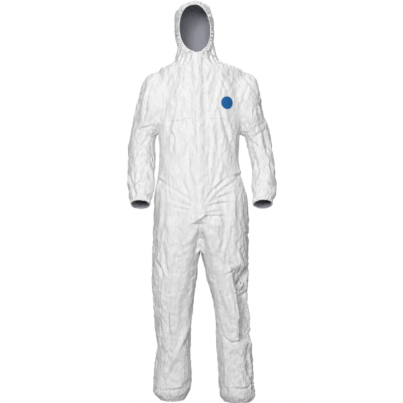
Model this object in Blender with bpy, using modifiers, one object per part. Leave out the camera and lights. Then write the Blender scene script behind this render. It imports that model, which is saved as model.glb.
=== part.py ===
"""Hooded protective coverall with a full-length front zip, elastic openings and jointed sleeves and legs.

Run it with: blender --background --python part.py
Heights are measured from the trouser hems while modelling. The parent empty "suit" then puts the origin
between the shoulders, where the garment hangs on its wearer. +Z is up and the front faces -Y.
"""

import math

import bmesh
import bpy
from mathutils import Matrix, Vector

# ---- driving dimensions, in metres, heights above the hems ----
WORN_Z = 1.400  # height of the origin: the middle of the shoulders
WORN_Y = 0.0
FABRIC = 0.0025  # thickness that stands in for the thin fabric
GAP = 0.0006  # clearance between neighbouring pieces
CROTCH_Z = 0.743
ZIP_BOTTOM = Vector((0.0, -0.150, 0.800))
ZIP_TOP = Vector((-0.0165, -0.111, 1.512))
ZIP_HALF_GAP = 0.007  # half the slot between the two front panels
KNEE_Z = 0.400
KNEE_HALF = 0.065  # half the height of the soft knee
SLEEVE_SIDES = 16
TORSO_SIDES = 32  # spans round the whole torso
HOOD_SIDES = 24

# ---- materials: colour, roughness, metallic ----
LOOKS = {
    "fabric_white": ((0.90, 0.91, 0.92), 0.75, 0.0),
    "elastic_white": ((0.85, 0.85, 0.83), 0.9, 0.0),
    "zip_tape": ((0.88, 0.89, 0.90), 0.8, 0.0),
    "zip_nylon": ((0.86, 0.87, 0.88), 0.4, 0.0),
    "zip_metal": ((0.80, 0.81, 0.82), 0.35, 0.6),
    "badge_blue": ((0.01, 0.16, 0.42), 0.45, 0.0),
    "badge_white": ((0.92, 0.93, 0.94), 0.5, 0.0),
}

# Torso sections: height at the front, height at the back, half width, back depth, centre x, squareness.
TORSO = (
    (CROTCH_Z, CROTCH_Z, 0.207, 0.118, 0.000, 2.6),
    (0.800, 0.800, 0.207, 0.132, 0.000, 2.5),
    (0.880, 0.880, 0.201, 0.134, 0.000, 2.4),
    (0.970, 0.970, 0.186, 0.121, 0.000, 2.3),
    (1.065, 1.065, 0.177, 0.110, 0.000, 2.3),
    (1.190, 1.190, 0.183, 0.118, 0.000, 2.3),
    (1.330, 1.330, 0.190, 0.122, 0.000, 2.2),
    (1.390, 1.390, 0.192, 0.112, 0.000, 1.9),
    (1.425, 1.425, 0.188, 0.100, -0.001, 1.7),
    (1.447, 1.447, 0.168, 0.092, -0.004, 1.7),
    (1.465, 1.460, 0.135, 0.088, -0.009, 1.8),
    (1.482, 1.468, 0.106, 0.086, -0.014, 1.9),
    (1.512, 1.478, 0.092, 0.084, -0.0165, 2.0),
)

# Hood sections: height at the front, height at the back, half width, front, back, centre x, squareness.
NECK_RING = (1.513, 1.479, 0.092, -0.1109, 0.084, -0.0165, 2.0)
HOOD = (
    (1.592, 1.545, 0.086, -0.114, 0.104, -0.024, 2.1),
    (1.625, 1.600, 0.087, -0.115, 0.122, -0.026, 2.2),
    (1.665, 1.655, 0.086, -0.112, 0.128, -0.027, 2.2),
    (1.700, 1.697, 0.080, -0.104, 0.120, -0.028, 2.2),
    (1.727, 1.727, 0.066, -0.088, 0.102, -0.028, 2.1),
    (1.744, 1.744, 0.045, -0.063, 0.074, -0.028, 2.0),
    (1.752, 1.752, 0.018, -0.025, 0.034, -0.028, 2.0),
)
FACE_CENTRE = Vector((-0.024, 0.0, 1.634))
FACE_HALF_WIDTH = 0.064
FACE_HALF_HEIGHT = 0.104
HOOD_CENTRE_HALF = 0.042  # half width of the hood's centre strip

# Sleeve sections of the +X arm: outer (x, z), inner (x, z), middle y, half depth, forward lean in degrees.
SHOULDER_SLEEVE = (((0.240, 1.412), (0.1945, 1.167), 0.012, 0.088, 0),)
UPPER_SLEEVE = (
    ((0.268, 1.345), (0.198, 1.160), 0.016, 0.085, 0),
    ((0.286, 1.265), (0.202, 1.150), 0.022, 0.079, 2),
    ((0.302, 1.192), (0.205, 1.137), 0.026, 0.071, 6),
)
ELBOW_SLEEVE = (((0.317, 1.115), (0.206, 1.090), 0.020, 0.064, 16),)
FOREARM_SLEEVE = (
    ((0.320, 1.048), (0.205, 1.043), 0.000, 0.062, 26),
    ((0.320, 0.985), (0.203, 0.985), -0.033, 0.060, 27),
    ((0.319, 0.925), (0.203, 0.925), -0.064, 0.057, 27),
    ((0.314, 0.893), (0.209, 0.893), -0.081, 0.051, 27),
    ((0.306, 0.874), (0.218, 0.874), -0.091, 0.043, 27),
    ((0.300, 0.862), (0.224, 0.862), -0.097, 0.038, 27),
)

# Leg sections: height, inner x, outer x, front y, back y, squareness. One leg stands a little wider.
LEFT_LEG = (
    (0.610, 0.013, 0.206, -0.123, 0.113, 2.4),
    (0.540, 0.027, 0.208, -0.114, 0.105, 2.3),
    (KNEE_Z + KNEE_HALF, 0.040, 0.206, -0.106, 0.096, 2.2),
    (KNEE_Z, 0.053, 0.207, -0.100, 0.088, 2.1),
    (KNEE_Z - KNEE_HALF, 0.066, 0.212, -0.094, 0.086, 2.1),
    (0.220, 0.073, 0.221, -0.090, 0.090, 2.1),
    (0.100, 0.081, 0.232, -0.092, 0.092, 2.1),
    (0.045, 0.083, 0.239, -0.092, 0.090, 2.1),
    (0.018, 0.092, 0.233, -0.084, 0.082, 2.0),
    (0.000, 0.104, 0.222, -0.070, 0.070, 2.0),
)
RIGHT_LEG = (
    (0.610, 0.011, 0.208, -0.123, 0.113, 2.4),
    (0.540, 0.020, 0.209, -0.114, 0.105, 2.3),
    (KNEE_Z + KNEE_HALF, 0.029, 0.207, -0.106, 0.096, 2.2),
    (KNEE_Z, 0.038, 0.203, -0.100, 0.088, 2.1),
    (KNEE_Z - KNEE_HALF, 0.042, 0.197, -0.094, 0.086, 2.1),
    (0.220, 0.042, 0.192, -0.090, 0.090, 2.1),
    (0.100, 0.043, 0.204, -0.092, 0.092, 2.1),
    (0.048, 0.050, 0.203, -0.092, 0.090, 2.1),
    (0.022, 0.060, 0.192, -0.084, 0.082, 2.0),
    (0.006, 0.070, 0.180, -0.070, 0.070, 2.0),
)
THIGH_ROWS = 3  # how many of the leg sections belong to the thigh
INNER_WALL = 0.004  # the inner wall of each leg stands this far from the middle at the crotch

BADGE_CENTRE = Vector((0.112, 0.0, 1.298))
BADGE_RADIUS = 0.0275
BADGE_BORDER = 0.0025  # width of the border that shows round the patch
BADGE_THICKNESS = 0.0006

LABEL_SIZE = (0.045, 0.0006, 0.035)
LABEL_CENTRE = (-0.012, 0.0700, 1.432)
LABEL_TILT = math.radians(-8)


# ---- scene helpers ----
def clear_scene():
    for obj in list(bpy.data.objects):
        bpy.data.objects.remove(obj, do_unlink=True)


def collection(name):
    made = bpy.data.collections.new(name)
    bpy.context.scene.collection.children.link(made)
    return made


def make_materials():
    for name, (colour, roughness, metallic) in LOOKS.items():
        material = bpy.data.materials.new(name)
        material.use_nodes = True
        shader = material.node_tree.nodes["Principled BSDF"]
        shader.inputs["Base Color"].default_value = (*colour, 1.0)
        shader.inputs["Roughness"].default_value = roughness
        shader.inputs["Metallic"].default_value = metallic


def add_object(name, data, material, parent):
    obj = bpy.data.objects.new(name, data)
    PARTS.objects.link(obj)
    obj.parent = parent
    data.materials.append(bpy.data.materials[material])
    return obj


def mesh_object(name, bm, material, parent):
    bmesh.ops.recalc_face_normals(bm, faces=bm.faces)
    data = bpy.data.meshes.new(name)
    bm.to_mesh(data)
    bm.free()
    return add_object(name, data, material, parent)


def make_cutter(name, bm, location=(0, 0, 0), rotation=(0, 0, 0)):
    bmesh.ops.recalc_face_normals(bm, faces=bm.faces)
    data = bpy.data.meshes.new(name)
    bm.to_mesh(data)
    bm.free()
    obj = bpy.data.objects.new(name, data)
    CUTTERS.objects.link(obj)
    obj.parent = SUIT
    obj.location = location
    obj.rotation_euler = rotation
    obj.hide_render = True
    obj.display_type = "WIRE"
    return obj


def boolean(obj, cutter, operation):
    modifier = obj.modifiers.new(operation.title(), "BOOLEAN")
    modifier.operation = operation
    modifier.object = cutter


def box_mesh(size, centre=(0, 0, 0)):
    bm = bmesh.new()
    bmesh.ops.create_cube(bm, size=1.0)
    bmesh.ops.scale(bm, vec=size, verts=bm.verts)
    bmesh.ops.translate(bm, vec=centre, verts=bm.verts)
    return bm


def cylinder_mesh(radius, depth, sides=24):
    bm = bmesh.new()
    bmesh.ops.create_cone(
        bm, cap_ends=True, segments=sides, radius1=radius, radius2=radius, depth=depth
    )
    return bm


# ---- lofted shells ----
def signed_power(value, power):
    return math.copysign(abs(value) ** power, value)


def flat_ring(section, angles):
    """Points of one rounded section. Angle 0 is the middle of the front, and 90 degrees is the +X side."""
    z_front, z_back, half_width, y_front, y_back, centre_x, square = section
    ring = []
    for angle in angles:
        side = signed_power(math.sin(angle), 2 / square)
        fore = signed_power(math.cos(angle), 2 / square)
        ring.append(
            Vector(
                (
                    centre_x + half_width * side,
                    (y_front + y_back) / 2 + fore * (y_front - y_back) / 2,
                    (z_front + z_back) / 2 + fore * (z_front - z_back) / 2,
                )
            )
        )
    return ring


def trim(rings):
    """Moves the end rings inwards by half a gap, so that the piece clears its neighbours."""
    for end, near in ((0, 1), (-1, -2)):
        step = max((a - b).length for a, b in zip(rings[end], rings[near]))
        share = GAP / 2 / step
        rings[end] = [a.lerp(b, share) for a, b in zip(rings[end], rings[near])]
    return rings


def loft(rings, closed):
    """An open surface through rings of equally many points."""
    bm = bmesh.new()
    rows = [[bm.verts.new(point) for point in ring] for ring in rings]
    for low, high in zip(rows, rows[1:]):
        count = len(low)
        for i in range(count if closed else count - 1):
            j = (i + 1) % count
            bm.faces.new((low[i], low[j], high[j], high[i]))
    return bm, rows


def inner_ring(ring, distance, closed):
    """The ring moved inwards within its own plane."""
    count = len(ring)
    middle = sum(ring, Vector()) / count
    pairs = zip(ring, ring[1:] + ring[:1] if closed else ring[1:])
    normal = sum(((a - middle).cross(b - middle) for a, b in pairs), Vector()).normalized()
    moved = []
    for i, point in enumerate(ring):
        before = ring[i - 1] if closed or i > 0 else point
        after = ring[(i + 1) % count] if closed or i < count - 1 else point
        moved.append(point + normal.cross(after - before).normalized() * distance)
    return moved


def shell(name, rings, closed=True, material="fabric_white", thickness=FABRIC):
    """A fabric shell between the rings and the same rings moved inwards."""
    inside = [inner_ring(ring, thickness, closed) for ring in rings]
    bm, outer = loft(rings, closed)
    inner = [[bm.verts.new(point) for point in ring] for ring in inside]
    count = len(rings[0])
    spans = [(i, (i + 1) % count) for i in range(count if closed else count - 1)]
    for low, high in zip(inner, inner[1:]):
        for i, j in spans:
            bm.faces.new((low[i], high[i], high[j], low[j]))
    for row in (0, -1):
        for i, j in spans:
            bm.faces.new((outer[row][i], inner[row][i], inner[row][j], outer[row][j]))
    if not closed:
        for edge in (0, -1):
            for k in range(len(rings) - 1):
                ends = (outer[k][edge], outer[k + 1][edge], inner[k + 1][edge], inner[k][edge])
                bm.faces.new(ends)
    return mesh_object(name, bm, material, SUIT)


def front_y(z):
    """Depth of the straight front line, along which the zip runs."""
    share = (z - ZIP_BOTTOM.z) / (ZIP_TOP.z - ZIP_BOTTOM.z)
    return ZIP_BOTTOM.lerp(ZIP_TOP, share).y


def zip_x(z):
    share = (z - ZIP_BOTTOM.z) / (ZIP_TOP.z - ZIP_BOTTOM.z)
    return ZIP_BOTTOM.lerp(ZIP_TOP, share).x


def torso_section(row):
    z_front, z_back, half_width, y_back, centre_x, square = row
    return (z_front, z_back, half_width, front_y(z_front), y_back, centre_x, square)


def section_at(z):
    """The torso's section at a height, read between the listed ones."""
    for low, high in zip(TORSO, TORSO[1:]):
        if z <= high[0]:
            share = (z - low[0]) / (high[0] - low[0])
            return torso_section([a + (b - a) * share for a, b in zip(low, high)])
    return torso_section(TORSO[-1])


def torso_side_x(y, z):
    """Half width of the torso's surface at a depth and height."""
    _, _, half_width, y_front, y_back, _, square = section_at(z)
    share = abs((y - (y_front + y_back) / 2) / ((y_back - y_front) / 2))
    return half_width * max(0.0, 1 - min(share, 1.0) ** square) ** (1 / square)


def torso_front_y(x, z):
    """Depth of the torso's front surface at a place across it."""
    _, _, half_width, y_front, y_back, centre_x, square = section_at(z)
    share = min(abs(x - centre_x) / half_width, 1.0)
    middle, half = (y_front + y_back) / 2, (y_back - y_front) / 2
    return middle - half * (1 - share**square) ** (1 / square)


def front_start_angle(section, x):
    """The angle at which a section's outline passes x on the front."""
    half_width, centre_x, square = section[2], section[5], section[6]
    share = (x - centre_x) / half_width
    return math.asin(signed_power(share, square / 2))


# ---- torso ----
SIDE_HALF_GAP = 0.0008  # half the clearance at a side seam


def side_gap_angle(section):
    """The angle from the side of a section to the edge of a panel there."""
    half_depth, square = (section[4] - section[3]) / 2, section[6]
    return math.asin((SIDE_HALF_GAP / half_depth) ** (square / 2))


def torso_panel(name, first, last, steps):
    """first and last give each section's end angles."""
    rings = []
    for row in TORSO:
        section = torso_section(row)
        start, end = first(section), last(section)
        angles = [start + (end - start) * i / steps for i in range(steps + 1)]
        rings.append(flat_ring(section, angles))
    return shell(name, rings, closed=False)


def make_torso():
    quarter = TORSO_SIDES // 4
    quarter_turn = math.pi / 2

    def left_edge(section):
        return front_start_angle(section, zip_x(section[0]) + ZIP_HALF_GAP)

    def right_edge(section):
        return front_start_angle(section, zip_x(section[0]) - ZIP_HALF_GAP)

    panels = [
        torso_panel("front_left_panel", left_edge, lambda s: quarter_turn - side_gap_angle(s), quarter),
        torso_panel(
            "front_right_panel", lambda s: side_gap_angle(s) - quarter_turn, right_edge, quarter
        ),
        torso_panel(
            "back_panel",
            lambda s: quarter_turn + side_gap_angle(s),
            lambda s: 3 * quarter_turn - side_gap_angle(s),
            2 * quarter,
        ),
    ]
    for side in (1, -1):
        cutter = armhole_cutter(side)
        for panel in panels:
            if panel.name != ("front_right_panel" if side == 1 else "front_left_panel"):
                boolean(panel, cutter, "DIFFERENCE")


ARMHOLE_CENTRE_Z = 1.308
ARMHOLE_HALF_HEIGHT = 0.140
ARMHOLE_HALF_DEPTH = 0.085
ARMHOLE_Y = 0.008
ARMHOLE_EASE = 0.0020  # how much larger the armhole is than the sleeve head that sits in it
ARMHOLE_CUT = 0.160  # length of the cutter, which passes right through the side wall
SLEEVE_HEAD_X = 0.145  # nearest that the sleeve head comes to the middle of the body


def armhole_cutter(side):
    bm = cylinder_mesh(1.0, ARMHOLE_CUT, 28)
    size = (ARMHOLE_HALF_HEIGHT + ARMHOLE_EASE, ARMHOLE_HALF_DEPTH + ARMHOLE_EASE, 1)
    bmesh.ops.scale(bm, vec=size, verts=bm.verts)
    name = "left_armhole_cutter" if side == 1 else "right_armhole_cutter"
    return make_cutter(
        name, bm, (side * 0.190, ARMHOLE_Y, ARMHOLE_CENTRE_Z), (0, math.pi / 2, 0)
    )


def make_crotch_gusset():
    """A diamond of fabric that closes the torso between the two legs."""
    half_width, front, back = 0.035, -0.128, 0.100
    curve = bpy.data.curves.new("crotch_gusset", "CURVE")
    curve.dimensions = "2D"
    curve.fill_mode = "BOTH"
    curve.extrude = FABRIC / 2
    spline = curve.splines.new("POLY")
    corners = ((0, front), (half_width, 0), (0, back), (-half_width, 0))
    spline.points.add(len(corners) - 1)
    for point, (x, y) in zip(spline.points, corners):
        point.co = (x, y, 0, 1)
    spline.use_cyclic_u = True
    gusset = add_object("crotch_gusset", curve, "fabric_white", SUIT)
    gusset.location = (0, 0, CROTCH_Z + GAP + FABRIC / 2)


def make_waist_elastic():
    """A flat elastic glued inside the back panel at the waist."""
    band, thickness, inset = 0.015, 0.0012, 0.0045
    rings = []
    for z in (1.070 - band / 2, 1.070 + band / 2):
        z_front, z_back, half_width, y_front, y_back, centre_x, square = section_at(z)
        section = (
            z, z, half_width - inset, y_front + inset, y_back - inset, centre_x, square,
        )
        start = math.radians(115)
        angles = [start + (2 * math.pi - 2 * start) * i / 14 for i in range(15)]
        rings.append(flat_ring(section, angles))
    shell("waist_elastic", rings, False, "elastic_white", thickness)


def make_size_label():
    """A blank woven tag that hangs inside the back of the neck."""
    bm = box_mesh(LABEL_SIZE)
    label = mesh_object("size_label", bm, "badge_white", SUIT)
    label.location = LABEL_CENTRE
    label.rotation_euler = (LABEL_TILT, 0, 0)


# ---- sleeves ----
def sleeve_ring(section, side):
    """A ring between an outer and an inner point, tipped forward by its lean."""
    (outer_x, outer_z), (inner_x, inner_z), y, half_depth, lean = section
    centre = Vector(((outer_x + inner_x) / 2, y, (outer_z + inner_z) / 2))
    across = Vector(((outer_x - inner_x) / 2, 0, (outer_z - inner_z) / 2))
    lean = math.radians(lean)
    fore = Vector((0, -math.cos(lean), math.sin(lean))) * half_depth
    ring = []
    for i in range(SLEEVE_SIDES):
        angle = 2 * math.pi * i / SLEEVE_SIDES
        point = centre + across * math.cos(angle) + fore * math.sin(angle)
        ring.append(Vector((side * point.x, point.y, point.z)))
    return ring


def armhole_ring(side):
    """The sleeve head's first ring, which follows the torso's surface round the armhole."""
    ring = []
    for i in range(SLEEVE_SIDES):
        angle = 2 * math.pi * i / SLEEVE_SIDES
        y = ARMHOLE_Y - ARMHOLE_HALF_DEPTH * math.sin(angle)
        z = ARMHOLE_CENTRE_Z + ARMHOLE_HALF_HEIGHT * math.cos(angle)
        x = max(torso_side_x(y, z), SLEEVE_HEAD_X) + 2 * GAP
        ring.append(Vector((side * x, y, z)))
    return ring


def make_sleeve(side, word):
    head = armhole_ring(side)
    shoulder = [sleeve_ring(s, side) for s in SHOULDER_SLEEVE]
    upper = [sleeve_ring(s, side) for s in UPPER_SLEEVE]
    elbow = [sleeve_ring(s, side) for s in ELBOW_SLEEVE]
    forearm = [sleeve_ring(s, side) for s in FOREARM_SLEEVE]
    shell(f"{word}_shoulder_fabric", trim([head, *shoulder, upper[0]]))
    shell(f"{word}_upper_sleeve", trim(list(upper)))
    shell(f"{word}_elbow_fabric", trim([upper[-1], *elbow, forearm[0]]))
    shell(f"{word}_forearm_sleeve", trim(list(forearm)))
    band = [inner_ring(ring, FABRIC + GAP, True) for ring in forearm[-2:]]
    shell(f"{word}_cuff_elastic", shorten(band), True, "elastic_white", 0.0012)


def shorten(band):
    """Keeps the middle of a band between two rings."""
    low, high = band
    return [
        [a.lerp(b, 0.45) for a, b in zip(low, high)],
        [a.lerp(b, 0.92) for a, b in zip(low, high)],
    ]


# ---- legs ----
LEG_OUTER_STEPS = 10
LEG_INNER_STEPS = 6


def leg_ring(section, side):
    """A ring from the front over the outer side to the back, and home along the inner side."""
    z, inner_x, outer_x, y_front, y_back, square = section
    flat = (z, z, (outer_x - inner_x) / 2, y_front, y_back, (outer_x + inner_x) / 2, square)
    outer = [math.pi * i / LEG_OUTER_STEPS for i in range(LEG_OUTER_STEPS + 1)]
    inner = [math.pi + math.pi * i / LEG_INNER_STEPS for i in range(1, LEG_INNER_STEPS)]
    return [Vector((side * p.x, p.y, p.z)) for p in flat_ring(flat, outer + inner)]


def crotch_ring(side):
    """Half of the torso's lowest section, closed by a straight inner wall."""
    section = torso_section(TORSO[0])
    outer = [math.pi * i / LEG_OUTER_STEPS for i in range(LEG_OUTER_STEPS + 1)]
    arc = [Vector((max(p.x, INNER_WALL), p.y, p.z)) for p in flat_ring(section, outer)]
    wall = [arc[-1].lerp(arc[0], i / LEG_INNER_STEPS) for i in range(1, LEG_INNER_STEPS)]
    return [Vector((side * p.x, p.y, p.z)) for p in arc + wall]


def make_leg(side, word, sections):
    rings = [leg_ring(s, side) for s in sections]
    thigh = rings[:THIGH_ROWS]
    knee = rings[THIGH_ROWS - 1 : THIGH_ROWS + 2]
    shin = rings[THIGH_ROWS + 1 :]
    shell(f"{word}_hip_fabric", trim([crotch_ring(side), rings[0]]))
    shell(f"{word}_thigh", trim(list(thigh)))
    shell(f"{word}_knee_fabric", trim(list(knee)))
    shell(f"{word}_shin", trim(list(shin)))
    band = [inner_ring(ring, FABRIC + GAP, True) for ring in rings[-2:]]
    shell(f"{word}_ankle_elastic", shorten(band), True, "elastic_white", 0.0012)


# ---- hood ----
def hood_rings(rows):
    angles = [2 * math.pi * (i + 0.5) / HOOD_SIDES for i in range(HOOD_SIDES)]
    return [flat_ring(row, angles) for row in rows]


def hood_shell(name):
    """The whole hood, closed at the top, before it's cut into panels."""
    bm, rows = loft(hood_rings(HOOD), closed=True)
    bm.faces.new(rows[-1])
    hood = mesh_object(name, bm, "fabric_white", SUIT)
    solidify = hood.modifiers.new("Fabric", "SOLIDIFY")
    solidify.thickness = FABRIC
    solidify.offset = -1
    return hood


def make_hood():
    shape = hood_shell("hood_centre_panel")
    face = face_cutter()
    slab = box_mesh((2 * HOOD_CENTRE_HALF, 0.6, 0.6))
    centre_slab = make_cutter("hood_slab", slab, (FACE_CENTRE.x, 0, FACE_CENTRE.z))
    wide = box_mesh((2 * HOOD_CENTRE_HALF + GAP, 0.7, 0.7))
    wide_slab = make_cutter("hood_wide_slab", wide, (FACE_CENTRE.x, 0, FACE_CENTRE.z))
    boolean(shape, centre_slab, "INTERSECT")
    boolean(shape, face, "DIFFERENCE")
    for side, word in ((1, "left"), (-1, "right")):
        panel = hood_shell(f"hood_{word}_panel")
        boolean(panel, wide_slab, "DIFFERENCE")
        half = box_mesh((0.3, 0.6, 0.6))
        place = (FACE_CENTRE.x - side * 0.15, 0, FACE_CENTRE.z)
        boolean(panel, make_cutter(f"hood_{word}_half", half, place), "DIFFERENCE")
        boolean(panel, face, "DIFFERENCE")
    neck = shell("neck_fabric", trim(hood_rings((NECK_RING, HOOD[0]))))
    boolean(neck, face, "DIFFERENCE")


def face_cutter():
    bm = cylinder_mesh(1.0, 0.2, 40)
    bmesh.ops.scale(bm, vec=(FACE_HALF_WIDTH, FACE_HALF_HEIGHT, 1), verts=bm.verts)
    return make_cutter(
        "face_cutter", bm, (FACE_CENTRE.x, -0.145, FACE_CENTRE.z), (math.pi / 2, 0, 0)
    )


def hood_front_y(x, z):
    """Depth of the hood's front surface, for what follows the face opening."""
    rows = [torso_section(TORSO[-1]), *HOOD]
    for low, high in zip(rows, rows[1:]):
        if z <= high[0] or high is rows[-1]:
            share = (z - low[0]) / (high[0] - low[0])
            _, _, half_width, y_front, y_back, centre_x, square = [
                a + (b - a) * share for a, b in zip(low, high)
            ]
            break
    across = min(abs(x - centre_x) / half_width, 1.0)
    middle, half = (y_front + y_back) / 2, (y_back - y_front) / 2
    return middle - half * (1 - across**square) ** (1 / square)


def make_face_elastic():
    """A round elastic cord inside the upper rim of the face opening, from jaw to jaw."""
    curve = bpy.data.curves.new("face_elastic", "CURVE")
    curve.dimensions = "3D"
    curve.bevel_depth = 0.0012
    curve.bevel_resolution = 1
    curve.use_fill_caps = True
    spline = curve.splines.new("POLY")
    points = []
    steps = 24
    for i in range(steps + 1):
        angle = math.radians(-115 + 230 * i / steps)
        x = FACE_CENTRE.x + (FACE_HALF_WIDTH + 0.004) * math.sin(angle)
        z = FACE_CENTRE.z + (FACE_HALF_HEIGHT + 0.004) * math.cos(angle)
        points.append((x, hood_front_y(x, z) + 0.012, z))
    spline.points.add(len(points) - 1)
    for point, place in zip(spline.points, points):
        point.co = (*place, 1)
    add_object("face_elastic", curve, "elastic_white", SUIT)


# ---- front closure, built along its own straight line ----
ZIP_LENGTH = (ZIP_TOP - ZIP_BOTTOM).length - 0.012
TAPE_WIDTH, TAPE_THICKNESS = 0.012, 0.0008
TAPE_INNER = 0.0043  # from the middle of the zip to the edge of its tape
TAPE_DEPTH = 0.0040  # behind the outer face of the front panels
CHAIN_HALF_GAP, CHAIN_WIDTH, CHAIN_DEPTH = 0.0007, 0.0030, 0.0022
CHAIN_Y = 0.0010  # middle of the chain, behind the fabric's outer face
SLIDER_WIDTH, SLIDER_HEIGHT, PLATE = 0.0105, 0.0130, 0.0012
SLIDER_W = ZIP_LENGTH - 0.014  # the slider's place on the line when the zip is closed
SLIDER_CLEARANCE = 0.0004
BAIL_Y = -0.0042
BAIL_RADIUS = 0.0007
BAIL_LENGTH = 0.0062
BAIL_UP = 0.0030  # height of the bail over the slider's middle
EAR_WIDTH, EAR_HEIGHT, EAR_X = 0.0010, 0.0030, 0.0030
TAB_LENGTH, TAB_WIDTH, TAB_THICKNESS = 0.026, 0.0070, 0.0010
EAR_WALL = 0.0012  # how far the ears reach past the middle of the bail
EYE_RADIUS = 0.0013
EYE_OUTER, EYE_LENGTH = 0.0022, 0.0040
TAB_DROP = 0.0030  # from the bail down to the tab's plate
FLAP_HINGE_X = 0.026
FLAP_FREE_X = -0.030
FLAP_RISE = 0.0085
FLAP_SKIN = 0.0010
FLAP_BASE = 0.0012  # height of the flap's edges over the fabric


def closure_frame():
    """An empty at the zip's lower end: its Z runs along the zip and its -Y points out."""
    frame = bpy.data.objects.new("closure", None)
    PARTS.objects.link(frame)
    frame.parent = SUIT
    frame.location = ZIP_BOTTOM
    along = (ZIP_TOP - ZIP_BOTTOM).normalized()
    frame.rotation_mode = "QUATERNION"
    frame.rotation_quaternion = Vector((0, 0, 1)).rotation_difference(along)
    return frame


def strip(name, width, thickness, length, centre, material, parent):
    bm = box_mesh((width, thickness, length))
    obj = mesh_object(name, bm, material, parent)
    obj.location = centre
    return obj


def make_tape(side, word):
    """A zip tape behind the edge of its front panel."""
    rings = []
    for row in TORSO[1:]:
        section = torso_section(row)
        middle = zip_x(section[0])
        inner = front_start_angle(section, middle + side * TAPE_INNER)
        outer = front_start_angle(section, middle + side * (TAPE_INNER + TAPE_WIDTH))
        low, high = sorted((inner, outer))
        ring = flat_ring(section, [low + (high - low) * i / 4 for i in range(5)])
        rings.append(inner_ring(ring, TAPE_DEPTH, False))
    shell(f"zip_tape_{word}", trim(rings), False, "zip_tape", TAPE_THICKNESS)


def make_zip(frame):
    chain_y = CHAIN_Y
    middle = ZIP_LENGTH / 2
    for side, word in ((1, "left"), (-1, "right")):
        make_tape(side, word)
        chain_x = side * (CHAIN_HALF_GAP + CHAIN_WIDTH / 2)
        strip(
            f"zip_teeth_{word}", CHAIN_WIDTH, CHAIN_DEPTH, ZIP_LENGTH - 0.010,
            (chain_x, chain_y, middle), "zip_nylon", frame,
        )
        strip(
            f"zip_top_stop_{word}", CHAIN_WIDTH, CHAIN_DEPTH + 0.0006, 0.0036,
            (chain_x, chain_y, ZIP_LENGTH - 0.0018), "zip_metal", frame,
        )
    strip(
        "zip_bottom_stop", 2 * (CHAIN_HALF_GAP + CHAIN_WIDTH), CHAIN_DEPTH + 0.0006, 0.0040,
        (0, chain_y, 0.0020), "zip_metal", frame,
    )


def joined(name, meshes, material, parent):
    """One object of several overlapping boxes, joined by Boolean unions."""
    first, *others = meshes
    obj = mesh_object(name, first, material, parent)
    for i, bm in enumerate(others):
        cutter = make_cutter(f"{name}_part_{i}", bm)
        cutter.parent = parent
        boolean(obj, cutter, "UNION")
    return obj


ACROSS = Matrix.Rotation(math.pi / 2, 3, "Y")  # lays a cylinder along X


def make_slider(frame):
    """Two plates joined by a thin bridge between the rows of teeth, with a bail for the tab."""
    reach = CHAIN_DEPTH / 2 + SLIDER_CLEARANCE
    holder = bpy.data.objects.new("slider_place", None)
    PARTS.objects.link(holder)
    holder.parent = frame
    holder.location = (0, 0, SLIDER_W)
    plate_y = CHAIN_Y - reach - PLATE / 2
    back_y = CHAIN_Y + reach + PLATE / 2
    front = box_mesh((SLIDER_WIDTH, PLATE, SLIDER_HEIGHT), (0, plate_y, 0))
    back_width = 2 * (CHAIN_HALF_GAP + CHAIN_WIDTH)
    back = box_mesh((back_width, PLATE, SLIDER_HEIGHT), (0, back_y, 0))
    bridge = box_mesh((0.0007, 2 * reach + PLATE, SLIDER_HEIGHT * 0.5), (0, CHAIN_Y, 0))
    ear_depth = plate_y - (BAIL_Y - EAR_WALL)
    ears = [
        box_mesh(
            (EAR_WIDTH, ear_depth, EAR_HEIGHT),
            (x, plate_y - ear_depth / 2, BAIL_UP),
        )
        for x in (-EAR_X, EAR_X)
    ]
    bail = cylinder_mesh(BAIL_RADIUS, BAIL_LENGTH, 10)
    bmesh.ops.rotate(bail, verts=bail.verts, cent=(0, 0, 0), matrix=ACROSS)
    bmesh.ops.translate(bail, vec=(0, BAIL_Y, BAIL_UP), verts=bail.verts)
    joined("zip_slider", [front, back, bridge, *ears, bail], "zip_metal", holder)
    return holder


def make_pull_tab(holder):
    """A plate that hangs from the slider's bail by a round eye."""
    pivot = bpy.data.objects.new("pull_tab_pivot", None)
    PARTS.objects.link(pivot)
    pivot.parent = holder
    pivot.location = (0, BAIL_Y, BAIL_UP)
    plate = box_mesh(
        (TAB_WIDTH, TAB_THICKNESS, TAB_LENGTH), (0, 0, -TAB_LENGTH / 2 - TAB_DROP)
    )
    eye = cylinder_mesh(EYE_OUTER, EYE_LENGTH, 16)
    bmesh.ops.rotate(eye, verts=eye.verts, cent=(0, 0, 0), matrix=ACROSS)
    neck = box_mesh((0.0036, TAB_THICKNESS, 0.0040), (0, 0, -0.0036))
    tab = joined("pull_tab", [plate, neck, eye], "zip_metal", pivot)
    hole = cylinder_mesh(EYE_RADIUS, 0.012, 12)
    bmesh.ops.rotate(hole, verts=hole.verts, cent=(0, 0, 0), matrix=ACROSS)
    cutter = make_cutter("pull_tab_hole", hole)
    cutter.parent = pivot
    boolean(tab, cutter, "DIFFERENCE")
    modifier = tab.modifiers.new("Edges", "BEVEL")
    modifier.width = 0.00015
    modifier.segments = 1
    modifier.limit_method = "ANGLE"


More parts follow.
